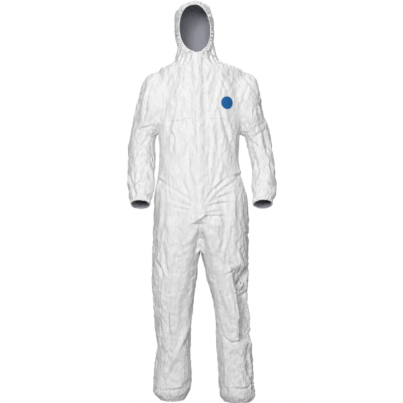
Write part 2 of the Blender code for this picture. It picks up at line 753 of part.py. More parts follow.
def make_storm_flap(frame):
    """A strip that bulges over the zip. Its sewn edge is the hinge, and its other edge lifts."""
    outline = (
        (FLAP_HINGE_X, -FLAP_BASE),
        (FLAP_HINGE_X - 0.006, -FLAP_BASE - 0.0022),
        (0.010, -FLAP_RISE),
        (-0.010, -FLAP_RISE),
        (FLAP_FREE_X + 0.010, -FLAP_BASE - 0.0026),
        (FLAP_FREE_X, -FLAP_BASE),
    )
    rings = [[Vector((x, y, z)) for x, y in outline] for z in (-0.018, ZIP_LENGTH - 0.004)]
    bm, _ = loft(rings, closed=False)
    flap = mesh_object("storm_flap", bm, "fabric_white", frame)
    if sum(face.normal.y * face.area for face in flap.data.polygons) > 0:
        flap.data.flip_normals()
    solidify = flap.modifiers.new("Fabric", "SOLIDIFY")
    solidify.thickness = FLAP_SKIN
    solidify.offset = 1


def make_badge():
    """A plain round patch: a white border with a blue face, laid on the left of the chest."""
    x, z = BADGE_CENTRE.x, BADGE_CENTRE.z
    step = 0.004
    across = Vector((2 * step, torso_front_y(x + step, z) - torso_front_y(x - step, z), 0))
    up = Vector((0, torso_front_y(x, z + step) - torso_front_y(x, z - step), 2 * step))
    normal = across.cross(up).normalized()
    place = Vector((x, torso_front_y(x, z), z))
    turn = Vector((0, 0, 1)).rotation_difference(normal)
    layers = (
        ("badge_border", BADGE_RADIUS + BADGE_BORDER, 0.0009, "badge_white"),
        ("chest_badge", BADGE_RADIUS, 0.0019, "badge_blue"),
    )
    for name, radius, lift, material in layers:
        obj = mesh_object(name, cylinder_mesh(radius, BADGE_THICKNESS, 32), material, SUIT)
        obj.location = place + normal * lift
        obj.rotation_mode = "QUATERNION"
        obj.rotation_quaternion = turn


clear_scene()
make_materials()
PARTS = collection("protective_suit")
CUTTERS = collection("cutters")
SUIT = bpy.data.objects.new("suit", None)
PARTS.objects.link(SUIT)
SUIT.location = (0, -WORN_Y, -WORN_Z)

make_torso()
make_crotch_gusset()
make_waist_elastic()
make_size_label()
for arm_side, arm_word in ((1, "left"), (-1, "right")):
    make_sleeve(arm_side, arm_word)
make_leg(1, "left", LEFT_LEG)
make_leg(-1, "right", RIGHT_LEG)
make_hood()
make_face_elastic()
closure = closure_frame()
make_zip(closure)
slider = make_slider(closure)
make_pull_tab(slider)
make_storm_flap(closure)
make_badge()
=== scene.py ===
"""The looks of the hooded protective coverall: its fabric, gathers, zip, flap and patch on the CAD bodies."""

import math

import bpy
import numpy as np
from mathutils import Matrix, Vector, noise
from mathutils.bvhtree import BVHTree
from mathutils.kdtree import KDTree


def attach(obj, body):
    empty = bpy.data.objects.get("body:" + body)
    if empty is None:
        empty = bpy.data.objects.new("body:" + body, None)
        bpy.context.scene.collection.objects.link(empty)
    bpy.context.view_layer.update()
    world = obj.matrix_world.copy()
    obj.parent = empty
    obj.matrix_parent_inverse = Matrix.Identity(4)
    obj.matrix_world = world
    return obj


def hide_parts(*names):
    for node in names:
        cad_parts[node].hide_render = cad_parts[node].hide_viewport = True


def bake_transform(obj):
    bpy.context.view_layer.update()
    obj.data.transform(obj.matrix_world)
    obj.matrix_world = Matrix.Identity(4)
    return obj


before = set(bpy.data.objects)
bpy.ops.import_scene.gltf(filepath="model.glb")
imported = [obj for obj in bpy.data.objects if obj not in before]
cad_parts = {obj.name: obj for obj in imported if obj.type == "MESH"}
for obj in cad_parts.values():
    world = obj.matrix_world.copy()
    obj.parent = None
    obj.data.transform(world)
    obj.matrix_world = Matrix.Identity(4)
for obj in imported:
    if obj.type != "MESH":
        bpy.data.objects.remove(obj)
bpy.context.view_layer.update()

HEM_Z = -1.400  # row height of the trouser hems; the tables below count heights from there
STEP = 0.0075  # spacing of the garment's rings
COLUMNS = 32  # spans in each quarter of the trunk
WALL = 20  # spans of a leg's inner side

THICKNESS = 0.0006
FACE_BAND = 0.028  # width of the gathers round the face
DRAPE_FRAMES = 20
BADGE = (0.112, 1.298)  # x and z of the middle of the chest patch
BADGE_FACING = (0.388339, -0.920191, 0.049416)  # the way that the chest patch looks
NECK_UP = (0, 0.19, 0.98)  # the way from the trunk to the hood
HEM_ROLL = (  # rows of a rolled hem inside the opening: distance inwards and height
    (0.0050, -0.0020),
    (0.0022, -0.0024),
    (0.0, -0.0018),
    (-0.0010, -0.0006),
    (-0.0008, 0.0008),
)
QUARTERS = ("front_left", "back_left", "back_right", "front_right")
NOISE_SEED = 11  # without a seed, the noise vectors are different in every run
SLEEVE_CUTS = (0.42, 0.47, 0.78)  # shares of a sleeve's rows: end of shoulder, elbow and forearm joins
# Pressed and pulled folds of the front: width, height, and the path as x and z. The hollow is on the right.
FOLDS = (
    # chest and shoulders
    (0.0100, -0.0070, ((-0.139, 1.173), (-0.124, 1.241), (-0.107, 1.309))),
    (0.0090, -0.0070, ((0.089, 1.266), (0.101, 1.217), (0.126, 1.125))),
    (0.0060, -0.0035, ((0.022, 1.434), (0.005, 1.367))),
    (0.0060, -0.0035, ((0.051, 1.437), (0.018, 1.358))),
    (0.0060, -0.0040, ((0.083, 1.411), (0.118, 1.348))),
    (0.0060, -0.0035, ((0.097, 1.426), (0.146, 1.377))),
    (0.0070, -0.0040, ((-0.107, 1.450), (-0.156, 1.377))),
    (0.0060, -0.0030, ((-0.068, 1.426), (-0.107, 1.358))),
    (0.0060, -0.0040, ((-0.141, 1.193), (-0.114, 1.144), (-0.124, 1.076))),
    (0.0050, -0.0030, ((-0.089, 1.207), (-0.118, 1.134))),
    # long folds down to the crotch
    (0.0080, -0.0035, ((0.040, 1.173), (0.033, 0.950))),
    (0.0080, -0.0035, ((0.095, 1.076), (0.049, 0.931), (0.021, 0.872))),
    (0.0080, -0.0035, ((-0.058, 1.134), (-0.046, 0.960))),
    (0.0080, -0.0035, ((-0.102, 1.057), (-0.073, 0.931), (-0.039, 0.872))),
    (0.0060, -0.0050, ((0.010, 0.862), (0.058, 0.926), (0.120, 0.982))),
    (0.0060, -0.0050, ((0.039, 0.877), (0.107, 0.935), (0.175, 0.984))),
    (0.0055, -0.0045, ((0.020, 0.861), (0.068, 0.887), (0.146, 0.916))),
    (0.0055, -0.0055, ((0.013, 0.851), (0.068, 0.865), (0.124, 0.870))),
    (0.0050, 0.0050, ((0.008, 0.830), (0.039, 0.839), (0.080, 0.845))),
    (0.0050, -0.0060, ((0.012, 0.810), (0.058, 0.813), (0.105, 0.810))),
    (0.0060, -0.0045, ((-0.029, 0.870), (-0.087, 0.906), (-0.146, 0.945))),
    (0.0060, -0.0040, ((-0.034, 0.853), (-0.078, 0.865), (-0.136, 0.887))),
    (0.0055, -0.0035, ((-0.043, 0.835), (-0.113, 0.849))),
    (0.0060, -0.0030, ((-0.039, 0.901), (-0.097, 0.974))),
    # crotch and inseams
    (0.0050, 0.0075, ((-0.045, 0.782), (-0.019, 0.795), (0.010, 0.816))),
    (0.0060, -0.0050, ((0.000, 0.793), (-0.012, 0.717), (-0.027, 0.610))),
    (0.0060, 0.0045, ((0.012, 0.795), (0.033, 0.707), (0.068, 0.600))),
    (0.0060, -0.0035, ((0.029, 0.785), (0.058, 0.741))),
    # waist
    (0.0070, -0.0090, ((0.146, 0.984), (0.187, 0.992))),
    (0.0060, -0.0060, ((-0.186, 0.974), (-0.155, 0.952))),
    # viewer's left leg
    (0.0070, -0.0090, ((-0.186, 0.612), (-0.161, 0.550))),
    (0.0045, -0.0040, ((-0.117, 0.600), (-0.115, 0.465))),
    (0.0160, -0.0085, ((-0.042, 0.552), (-0.070, 0.416), (-0.095, 0.280))),
    (0.0090, 0.0065, ((-0.048, 0.340), (-0.092, 0.246), (-0.136, 0.144))),
    (0.0080, -0.0065, ((-0.071, 0.319), (-0.114, 0.222), (-0.155, 0.130))),
    (0.0080, -0.0040, ((-0.146, 0.435), (-0.131, 0.222))),
    (0.0050, -0.0050, ((-0.160, 0.055), (-0.116, 0.059), (-0.078, 0.064))),
    (0.0070, -0.0040, ((-0.097, 0.727), (-0.058, 0.571))),
    (0.0070, -0.0040, ((-0.165, 0.707), (-0.146, 0.571))),
    # viewer's right leg
    (0.0060, -0.0070, ((0.109, 0.558), (0.142, 0.579))),
    (0.0110, 0.0200, ((0.125, 0.586), (0.146, 0.484), (0.158, 0.406), (0.161, 0.282))),
    (0.0200, -0.0240, ((0.158, 0.570), (0.178, 0.484), (0.189, 0.406), (0.192, 0.282))),
    (0.0070, -0.0070, ((0.172, 0.443), (0.216, 0.472))),
    (0.0060, -0.0070, ((0.155, 0.649), (0.180, 0.571))),
    (0.0120, -0.0065, ((0.054, 0.571), (0.083, 0.455), (0.117, 0.348))),
    (0.0080, 0.0045, ((0.083, 0.610), (0.107, 0.494), (0.136, 0.358))),
    (0.0050, -0.0060, ((0.109, 0.282), (0.136, 0.263), (0.175, 0.272), (0.220, 0.261))),
    (0.0060, -0.0040, ((0.078, 0.338), (0.107, 0.282), (0.141, 0.246))),
    (0.0065, -0.0070, ((0.202, 0.251), (0.206, 0.094))),
    (0.0060, -0.0035, ((0.134, 0.251), (0.138, 0.100))),
    (0.0050, -0.0070, ((0.141, 0.067), (0.180, 0.063), (0.221, 0.067))),
    (0.0070, -0.0040, ((0.107, 0.736), (0.078, 0.610))),
    # sleeves
    (0.0065, -0.0070, ((-0.236, 1.387), (-0.254, 1.329), (-0.274, 1.251))),
    (0.0065, -0.0060, ((-0.217, 1.387), (-0.233, 1.309), (-0.250, 1.217))),
    (0.0060, -0.0040, ((-0.305, 1.125), (-0.281, 1.159), (-0.247, 1.193))),
    (0.0050, -0.0028, ((-0.281, 1.185), (-0.243, 1.193), (-0.202, 1.204))),
    (0.0060, -0.0050, ((-0.303, 1.076), (-0.262, 1.105), (-0.228, 1.154))),
    (0.0065, -0.0060, ((-0.309, 0.989), (-0.296, 0.950), (-0.278, 0.901))),
    (0.0060, -0.0050, ((-0.291, 0.999), (-0.281, 0.931))),
    (0.0070, -0.0080, ((0.207, 1.382), (0.194, 1.338), (0.179, 1.285))),
    (0.0060, -0.0060, ((0.190, 1.411), (0.216, 1.387), (0.225, 1.358))),
    (0.0070, -0.0080, ((0.251, 1.329), (0.268, 1.280), (0.280, 1.232))),
    (0.0055, -0.0028, ((0.203, 1.173), (0.238, 1.193), (0.276, 1.217))),
    (0.0060, -0.0035, ((0.208, 1.130), (0.243, 1.159), (0.284, 1.188))),
    (0.0080, -0.0090, ((0.276, 1.178), (0.291, 1.115), (0.295, 1.037))),
    (0.0065, -0.0070, ((0.303, 1.076), (0.309, 0.999))),
    (0.0060, -0.0040, ((0.233, 1.086), (0.254, 0.979))),
    # neck
    (0.0045, -0.0060, ((0.040, 1.542), (0.058, 1.499), (0.076, 1.459))),
    (0.0045, -0.0060, ((0.062, 1.533), (0.072, 1.499), (0.086, 1.455))),
    (0.0045, -0.0045, ((0.033, 1.523), (0.052, 1.467))),
    (0.0050, -0.0055, ((-0.087, 1.533), (-0.101, 1.494), (-0.114, 1.455))),
    (0.0045, -0.0045, ((-0.079, 1.513), (-0.099, 1.463))),
    (0.0045, -0.0040, ((-0.064, 1.496), (-0.085, 1.461))),
    (0.0045, -0.0040, ((0.005, 1.491), (0.045, 1.455))),
    (0.0045, -0.0035, ((-0.039, 1.499), (-0.060, 1.465))),
)
CHEST_SEAMS = {  # x and z along the seam across each front
    "right": ((-0.134, 1.219), (-0.089, 1.224), (-0.040, 1.233)),
    "left": ((0.026, 1.230), (0.060, 1.233), (0.104, 1.230)),
}
# ---- shape tables, in metres ----
# Trunk: front height, back height, half width, back depth, centre x, squareness, drop at the sides.
TRUNK = (
    (0.792, 0.778, 0.207, 0.122, 0.001, 2.6, 0.045),
    (0.830, 0.820, 0.208, 0.131, 0.002, 2.5, 0.028),
    (0.880, 0.875, 0.206, 0.134, 0.004, 2.4, 0.010),
    (0.930, 0.930, 0.196, 0.128, 0.002, 2.3, 0.0),
    (0.985, 0.985, 0.183, 0.119, -0.003, 2.3, 0.0),
    (1.065, 1.065, 0.172, 0.110, -0.006, 2.3, 0.0),
    (1.130, 1.130, 0.175, 0.114, -0.005, 2.3, 0.0),
    (1.190, 1.190, 0.181, 0.118, -0.003, 2.3, 0.0),
    (1.330, 1.330, 0.190, 0.122, 0.000, 2.2, 0.0),
    (1.390, 1.390, 0.192, 0.113, 0.001, 2.0, 0.0),
    (1.425, 1.425, 0.191, 0.103, 0.001, 1.8, 0.0),
    (1.448, 1.448, 0.184, 0.095, 0.000, 1.7, 0.0),
    (1.462, 1.459, 0.160, 0.091, -0.003, 1.7, 0.0),
    (1.474, 1.465, 0.124, 0.088, -0.010, 1.8, 0.0),
    (1.488, 1.471, 0.101, 0.086, -0.015, 1.9, 0.0),
    (1.512, 1.479, 0.0925, 0.084, -0.0165, 2.0, 0.0),
)
# Hood: front height, back height, half width, front, back, centre x, squareness.
HOOD = (
    (1.512, 1.479, 0.0925, -0.111, 0.084, -0.0165, 2.0),
    (1.540, 1.500, 0.0860, -0.112, 0.090, -0.0180, 2.0),
    (1.566, 1.522, 0.0840, -0.113, 0.098, -0.0190, 2.1),
    (1.592, 1.550, 0.0850, -0.114, 0.107, -0.0240, 2.1),
    (1.632, 1.605, 0.0865, -0.115, 0.122, -0.0265, 2.2),
    (1.670, 1.660, 0.0860, -0.111, 0.127, -0.0270, 2.2),
    (1.702, 1.700, 0.0810, -0.103, 0.119, -0.0280, 2.2),
    (1.728, 1.728, 0.0680, -0.088, 0.101, -0.0280, 2.1),
    (1.744, 1.744, 0.0520, -0.068, 0.078, -0.0280, 2.0),
    (1.752, 1.752, 0.0330, -0.044, 0.050, -0.0280, 2.0),
    (1.756, 1.756, 0.0010, -0.004, 0.002, -0.0280, 2.0),
)
FACE = (-0.0240, 1.6190, 0.0670, 0.1030)  # centre x and z, half width, half height
FACE_LEAN = -0.057  # sideways shift of the face opening's middle for each metre up
ZIP_LOW = Vector((0.0, -0.150, 0.800))
ZIP_TOP = Vector((-0.0165, -0.111, 1.512))
SLOT = 0.007
ARMHOLE = (0.008, 1.308, 0.085, 0.140)  # centre y and z, half depth, half height
ARMHOLE_LEVELS = 42
# Sleeve: outer x, z, inner x, z, middle y, half depth, forward lean in degrees. One table per arm.
SLEEVE = {
    1: (
        (0.188, 1.448, 0.184, 1.168, 0.008, 0.085, 0),
        (0.226, 1.440, 0.189, 1.170, 0.010, 0.088, 0),
        (0.246, 1.405, 0.194, 1.167, 0.013, 0.088, 0),
        (0.262, 1.350, 0.200, 1.162, 0.017, 0.085, 1),
        (0.279, 1.275, 0.204, 1.150, 0.022, 0.079, 3),
        (0.300, 1.200, 0.207, 1.135, 0.025, 0.071, 7),
        (0.316, 1.115, 0.216, 1.090, 0.018, 0.065, 15),
        (0.325, 1.050, 0.224, 1.043, 0.000, 0.062, 24),
        (0.328, 0.985, 0.229, 0.985, -0.031, 0.060, 27),
        (0.327, 0.925, 0.226, 0.925, -0.062, 0.057, 27),
        (0.324, 0.898, 0.225, 0.898, -0.077, 0.053, 27),
        (0.311, 0.882, 0.226, 0.882, -0.088, 0.044, 29),
        (0.306, 0.872, 0.229, 0.872, -0.094, 0.039, 30),
        (0.307, 0.864, 0.228, 0.864, -0.098, 0.040, 30),
    ),
    -1: (
        (0.188, 1.448, 0.184, 1.168, 0.008, 0.085, 0),
        (0.228, 1.438, 0.189, 1.170, 0.010, 0.088, 0),
        (0.250, 1.402, 0.194, 1.167, 0.013, 0.088, 0),
        (0.268, 1.345, 0.200, 1.162, 0.017, 0.085, 1),
        (0.286, 1.272, 0.204, 1.150, 0.022, 0.079, 3),
        (0.305, 1.197, 0.206, 1.136, 0.025, 0.071, 7),
        (0.318, 1.115, 0.205, 1.090, 0.018, 0.065, 15),
        (0.320, 1.050, 0.203, 1.043, 0.000, 0.062, 24),
        (0.318, 0.985, 0.202, 0.985, -0.031, 0.060, 27),
        (0.313, 0.925, 0.204, 0.925, -0.062, 0.057, 27),
        (0.309, 0.898, 0.206, 0.898, -0.077, 0.053, 27),
        (0.301, 0.882, 0.215, 0.882, -0.088, 0.044, 29),
        (0.297, 0.870, 0.220, 0.870, -0.094, 0.039, 30),
        (0.298, 0.862, 0.219, 0.862, -0.098, 0.040, 30),
    ),
}
# Legs: height, inner x, outer x, front y, back y, squareness.
LEG = {
    1: (
        (0.745, 0.002, 0.208, -0.148, 0.120, 2.6),
        (0.660, 0.005, 0.207, -0.134, 0.118, 2.5),
        (0.600, 0.016, 0.206, -0.122, 0.112, 2.4),
        (0.540, 0.027, 0.208, -0.114, 0.105, 2.3),
        (0.465, 0.045, 0.208, -0.106, 0.096, 2.2),
        (0.400, 0.059, 0.210, -0.100, 0.088, 2.1),
        (0.335, 0.067, 0.216, -0.094, 0.086, 2.1),
        (0.220, 0.073, 0.222, -0.090, 0.090, 2.1),
        (0.130, 0.079, 0.229, -0.092, 0.092, 2.1),
        (0.060, 0.081, 0.237, -0.093, 0.092, 2.1),
        (0.030, 0.084, 0.239, -0.090, 0.089, 2.1),
        (0.012, 0.092, 0.234, -0.083, 0.082, 2.0),
        (0.000, 0.103, 0.223, -0.071, 0.070, 2.0),
        (-0.004, 0.106, 0.220, -0.068, 0.067, 2.0),
    ),
    -1: (
        (0.745, 0.002, 0.208, -0.148, 0.120, 2.6),
        (0.660, 0.004, 0.209, -0.134, 0.118, 2.5),
        (0.600, 0.012, 0.210, -0.122, 0.112, 2.4),
        (0.540, 0.019, 0.210, -0.114, 0.105, 2.3),
        (0.465, 0.030, 0.208, -0.106, 0.096, 2.2),
        (0.400, 0.037, 0.204, -0.100, 0.088, 2.1),
        (0.335, 0.039, 0.199, -0.094, 0.086, 2.1),
        (0.220, 0.042, 0.192, -0.090, 0.090, 2.1),
        (0.130, 0.042, 0.202, -0.092, 0.092, 2.1),
        (0.070, 0.046, 0.203, -0.093, 0.092, 2.1),
        (0.040, 0.050, 0.203, -0.091, 0.090, 2.1),
        (0.022, 0.058, 0.195, -0.084, 0.082, 2.0),
        (0.010, 0.068, 0.182, -0.072, 0.070, 2.0),
        (0.006, 0.071, 0.179, -0.069, 0.067, 2.0),
    ),
}


# ---- small helpers ----
def placed(name, data):
    """A new object of the scene."""
    made = bpy.data.objects.new(name, data)
    bpy.context.scene.collection.objects.link(made)
    return made


def tree_of(points):
    tree = KDTree(len(points))
    for number, place in enumerate(points):
        tree.insert(place, number)
    tree.balance()
    return tree


# ---- curves through tables ----
def smooth_rows(rows, at):
    """Rows read at new values of the first column, along curves that never overshoot."""
    rows = np.array(rows, float)
    if rows[0, 0] > rows[-1, 0]:
        rows = rows[::-1]
    x, y = rows[:, 0], rows[:, 1:]
    h = np.diff(x)
    d = np.diff(y, axis=0) / h[:, None]
    m = np.zeros_like(y)
    m[0], m[-1] = d[0], d[-1]
    same = d[:-1] * d[1:] > 0
    w1, w2 = 2 * h[1:] + h[:-1], h[1:] + 2 * h[:-1]
    with np.errstate(divide="ignore", invalid="ignore"):
        mean = (w1 + w2)[:, None] / (w1[:, None] / d[:-1] + w2[:, None] / d[1:])
    m[1:-1] = np.where(same, mean, 0)
    at = np.clip(np.atleast_1d(at), x[0], x[-1])
    k = np.clip(np.searchsorted(x, at) - 1, 0, len(h) - 1)
    t = ((at - x[k]) / h[k])[:, None]
    hk = h[k][:, None]
    value = (
        y[k] * (2 * t**3 - 3 * t**2 + 1)
        + m[k] * hk * (t**3 - 2 * t**2 + t)
        + y[k + 1] * (3 * t**2 - 2 * t**3)
        + m[k + 1] * hk * (t**3 - t**2)
    )
    return np.column_stack((at, value))


def smoothstep(t):
    t = np.clip(t, 0, 1)
    return t * t * (3 - 2 * t)


def power(value, exponent):
    return np.sign(value) * np.abs(value) ** exponent


def section_points(row, angles):
    """row: front z, back z, half width, front y, back y, centre x, squareness, side drop."""
    zf, zb, half, yf, yb, cx, square, drop = row
    side, fore = power(np.sin(angles), 2 / square), power(np.cos(angles), 2 / square)
    return np.column_stack(
        (
            cx + half * side,
            (yf + yb) / 2 + fore * (yf - yb) / 2,
            (zf + zb) / 2 + fore * (zf - zb) / 2 - drop * side**2,
        )
    )


def spaced(points, spans):
    """The same line with evenly spaced points."""
    length = np.concatenate(([0], np.cumsum(np.linalg.norm(np.diff(points, axis=0), axis=1))))
    at = np.linspace(0, length[-1], spans + 1)
    return np.column_stack([np.interp(at, length, points[:, k]) for k in range(3)])


def arc(row, first, last, spans):
    return spaced(section_points(row, np.linspace(first, last, 500)), spans)


def crossing(row, low, high, test):
    """The angle between low and high at which test turns from negative to positive."""
    angles = np.linspace(low, high, 1500)
    value = test(section_points(row, angles))
    hits = np.flatnonzero((value[:-1] < 0) & (value[1:] >= 0))
    return angles[hits[0] + 1] if len(hits) else high


def on_zip(z):
    return ZIP_LOW.lerp(ZIP_TOP, (z - ZIP_LOW.z) / (ZIP_TOP.z - ZIP_LOW.z))


# ---- the garment's grids ----
def trunk_rings():
    """Four quarter arcs for each ring: front left, back left, back right, front right."""
    arm_y, arm_z, arm_d, arm_h = ARMHOLE
    below = np.linspace(TRUNK[0][0], arm_z - arm_h, 51)[:-1]
    turn = np.linspace(0, 1, ARMHOLE_LEVELS + 1)
    beside = arm_z - arm_h * (0.5 * np.cos(np.pi * turn) + 0.5 * (1 - 2 * turn))
    above = np.linspace(arm_z + arm_h, TRUNK[-1][0], 11)[1:]
    levels = np.concatenate((below, beside, above))
    quarters = [[], [], [], []]
    for zf, zb, half, yb, cx, square, drop in smooth_rows(TRUNK, levels):
        row = (zf, zb, half, on_zip(zf).y, yb, cx, square, drop)
        start, end = 0.0, 0.0
        if zf >= ZIP_LOW.z:
            middle = on_zip(zf).x
            start = crossing(row, -0.4, 1, lambda p: p[:, 0] - middle - SLOT)
            end = -crossing(row, 0.4, -1, lambda p: middle - SLOT - p[:, 0])
        front = back = [np.pi / 2] * 2
        share = (zf - arm_z) / arm_h
        if abs(share) < 0.999:
            reach = arm_d * math.sqrt(1 - share**2)
            a = crossing(row, 0.3, np.pi / 2, lambda p: p[:, 1] - (arm_y - reach))
            b = crossing(row, np.pi / 2, np.pi - 0.3, lambda p: p[:, 1] - (arm_y + reach))
            front, back = [a, a], [b, b]
        quarters[0].append(arc(row, start, front[0], COLUMNS))
        quarters[1].append(arc(row, back[0], np.pi, COLUMNS))
        quarters[2].append(arc(row, np.pi, 2 * np.pi - back[1], COLUMNS))
        quarters[3].append(arc(row, 2 * np.pi - front[1], 2 * np.pi - end, COLUMNS))
    return levels, [np.array(q) for q in quarters]


def hood_rings():
    """Two halves for each ring, left and right, that start and end at the face opening."""
    cx, cz, half_w, half_h = FACE
    low, high = cz - half_h, cz + half_h
    below = np.linspace(HOOD[0][0], low, 5)[:-1]
    turn = np.linspace(0, 1, 45)
    beside = cz - half_h * (0.6 * np.cos(np.pi * turn) + 0.4 * (1 - 2 * turn))
    above = np.linspace(high, HOOD[-1][0], 6)[1:]
    levels = np.concatenate((below, beside, above))
    left, right = [], []
    for zf, zb, half, yf, yb, mid, square in smooth_rows(HOOD, levels):
        row = (zf, zb, half, yf, yb, mid, square, 0.0)

        def outside(p):
            middle = cx + FACE_LEAN * (p[:, 2] - cz)
            return ((p[:, 0] - middle) / half_w) ** 2 + np.abs((p[:, 2] - cz) / half_h) ** 2.25 - 1

        start = end = 0.0
        if low < zf < high:
            start = crossing(row, 0, np.pi / 2, outside)
            end = -crossing(row, 0, -np.pi / 2, outside)
        left.append(arc(row, start, np.pi, 2 * COLUMNS))
        right.append(arc(row, np.pi, 2 * np.pi - end, 2 * COLUMNS))
    return levels, np.array(left), np.array(right)


def sleeve_rings(side, levels, front, back):
    """Rings from armhole to cuff. Each starts at the armpit and runs up the front and down the back."""
    _, arm_z, _, arm_h = ARMHOLE
    inside = np.flatnonzero(np.abs(levels - arm_z) < arm_h + 1e-6)
    head = np.concatenate((front[inside], back[inside][-2:0:-1]))
    arm_y, _, arm_d, _ = ARMHOLE
    turn = np.arctan2(-(head[:, 1] - arm_y) / arm_d, (head[:, 2] - arm_z) / arm_h)
    turn = np.where(turn < -1e-6, turn + 2 * np.pi, turn)
    turn[0] = np.pi
    # angles fall from 180 at the armpit over the front to 0 at the shoulder, then on to -180
    order = np.arange(len(head))
    turn = np.where(order > len(inside) - 1, turn - 2 * np.pi, turn)
    even = np.pi - 2 * np.pi * order / len(head)
    table = np.array(SLEEVE[side], float)
    middle = np.column_stack(
        ((table[:, 0] + table[:, 2]) / 2, table[:, 4], (table[:, 1] + table[:, 3]) / 2)
    )
    along = np.concatenate(([0], np.cumsum(np.linalg.norm(np.diff(middle, axis=0), axis=1))))
    count = int(round(along[-1] / 0.0068))
    rows = smooth_rows(np.column_stack((along, table)), np.linspace(0, along[-1], count + 1))
    rings = []
    for k, row in enumerate(rows):
        _, ox, oz, ix, iz, y, depth, lean = row
        lean = math.radians(lean)
        angle = turn + (even - turn) * smoothstep(k / 12)
        across = np.array([(ox - ix) / 2, 0, (oz - iz) / 2])
        fore = np.array([0, -math.cos(lean), math.sin(lean)]) * depth
        centre = np.array([(ox + ix) / 2, y, (oz + iz) / 2])
        ring = centre + np.outer(np.cos(angle), across) + np.outer(np.sin(angle), fore)
        ring[:, 0] *= side
        if k == 0:
            shift = head - ring
        rings.append(ring + shift * (1 - smoothstep(k / 9)))
    return np.array(rings)


def leg_rings(side, front, back, wall):
    """Rings from crotch to hem. Each runs from the front over the outer side to the back and home inside."""
    head = np.concatenate((front, back[1:], wall[1:-1]))
    heights = np.arange(LEG[side][0][0], LEG[side][-1][0] - 1e-6, -STEP)
    heights = np.append(heights[:-1], [heights[-1], LEG[side][-1][0]])
    rings = []
    for k, (z, inner, outer, yf, yb, square) in enumerate(smooth_rows(LEG[side], heights)):
        row = (z, z, (outer - inner) / 2, yf, yb, (outer + inner) / 2, square, 0.0)
        ring = np.concatenate(
            (
                arc(row, 0, np.pi / 2, COLUMNS),
                arc(row, np.pi / 2, np.pi, COLUMNS)[1:],
                arc(row, np.pi, 2 * np.pi, WALL)[1:-1],
            )
        )
        ring[:, 0] *= side
        if k == 0:
            shift = head - ring
        rings.append(ring + shift * (1 - smoothstep(k * STEP / 0.15)))
    return np.array(rings)


class Garment:
    """One welded mesh, and for each part the grid of its vertex numbers."""

    def __init__(self):
        self.points, self.grids = [], {}

    def add(self, name, rings, closed):
        shape = rings.shape[:2]
        start = sum(len(p) for p in self.points)
        self.points.append(rings.reshape(-1, 3))
        grid = start + np.arange(shape[0] * shape[1]).reshape(shape)
        self.grids[name] = np.column_stack((grid, grid[:, 0])) if closed else grid

    def weld(self):
        points = np.concatenate(self.points)
        _, first, index = np.unique(
            np.round(points, 5), axis=0, return_index=True, return_inverse=True
        )
        index = index.reshape(-1)
        self.rest = points[first]
        self.grids = {name: index[grid] for name, grid in self.grids.items()}

    def relax(self):
        """Rounds off the corner that the armholes leave between trunk and sleeves."""
        share = np.zeros(len(self.rest))
        for side, (front, column) in ((1, ("front_left", -1)), (-1, ("front_right", 0))):
            sleeve = self.grids[f"sleeve{side}"]
            for k in range(6):
                share[sleeve[k]] = np.maximum(share[sleeve[k]], 1 - k / 6)
            back, far = ("back_left", 0) if side == 1 else ("back_right", -1)
            inside = np.abs(self.levels - ARMHOLE[1]) <= ARMHOLE[3] + 1e-6
            for grid, edge in ((self.grids[front], column), (self.grids[back], far)):
                for k in range(6):
                    at = k if edge == 0 else -1 - k
                    ids = grid[inside, at]
                    share[ids] = np.maximum(share[ids], 1 - k / 6)
        pairs = []
        for grid in self.grids.values():
            pairs += [np.column_stack((grid[:-1].ravel(), grid[1:].ravel()))]
            pairs += [np.column_stack((grid[:, :-1].ravel(), grid[:, 1:].ravel()))]
        pairs = np.concatenate(pairs)
        pairs = np.concatenate((pairs, pairs[:, ::-1]))
        count = np.bincount(pairs[:, 0], minlength=len(self.rest))[:, None]
        for _ in range(12):
            total = np.zeros_like(self.rest)
            np.add.at(total, pairs[:, 0], self.rest[pairs[:, 1]])
            self.rest = self.rest + (total / count - self.rest) * share[:, None] * 0.7


def quads(grid, flip=False):
    """The faces of a grid, without the ones that have no area."""
    corners = (grid[:-1, :-1], grid[:-1, 1:], grid[1:, 1:], grid[1:, :-1])
    faces = np.stack(corners[::-1] if flip else corners, axis=-1).reshape(-1, 4)
    out = []
    for face in faces.tolist():
        kept = [v for i, v in enumerate(face) if v != face[i - 1]]
        if len(kept) >= 3:
            out.append(kept)
    return out


def limb(name):
    return name.startswith(("sleeve", "leg"))


def turned(points, grid, name):
    """True if the grid's faces look inwards."""
    p = points[grid]
    normal = np.cross(p[1:, 1:] - p[:-1, :-1], p[:-1, 1:] - p[1:, :-1])
    middle = (p[1:, 1:] + p[:-1, :-1]) / 2
    centre = p.mean(axis=1)[:-1, None] if limb(name) else np.array([-0.01, -0.012, 0])
    away = middle - centre
    if not limb(name):
        away[..., 2] = 0
    return (normal * away).sum() > 0


def vertex_normals(points, faces):
    total = np.zeros_like(points)
    square = np.array([f if len(f) == 4 else [*f, f[0]] for f in faces])
    corners = points[square]
    normal = np.cross(corners[:, 2] - corners[:, 0], corners[:, 3] - corners[:, 1])
    for k in range(4):
        np.add.at(total, square[:, k], normal)
    return total / np.maximum(np.linalg.norm(total, axis=1, keepdims=True), 1e-12)


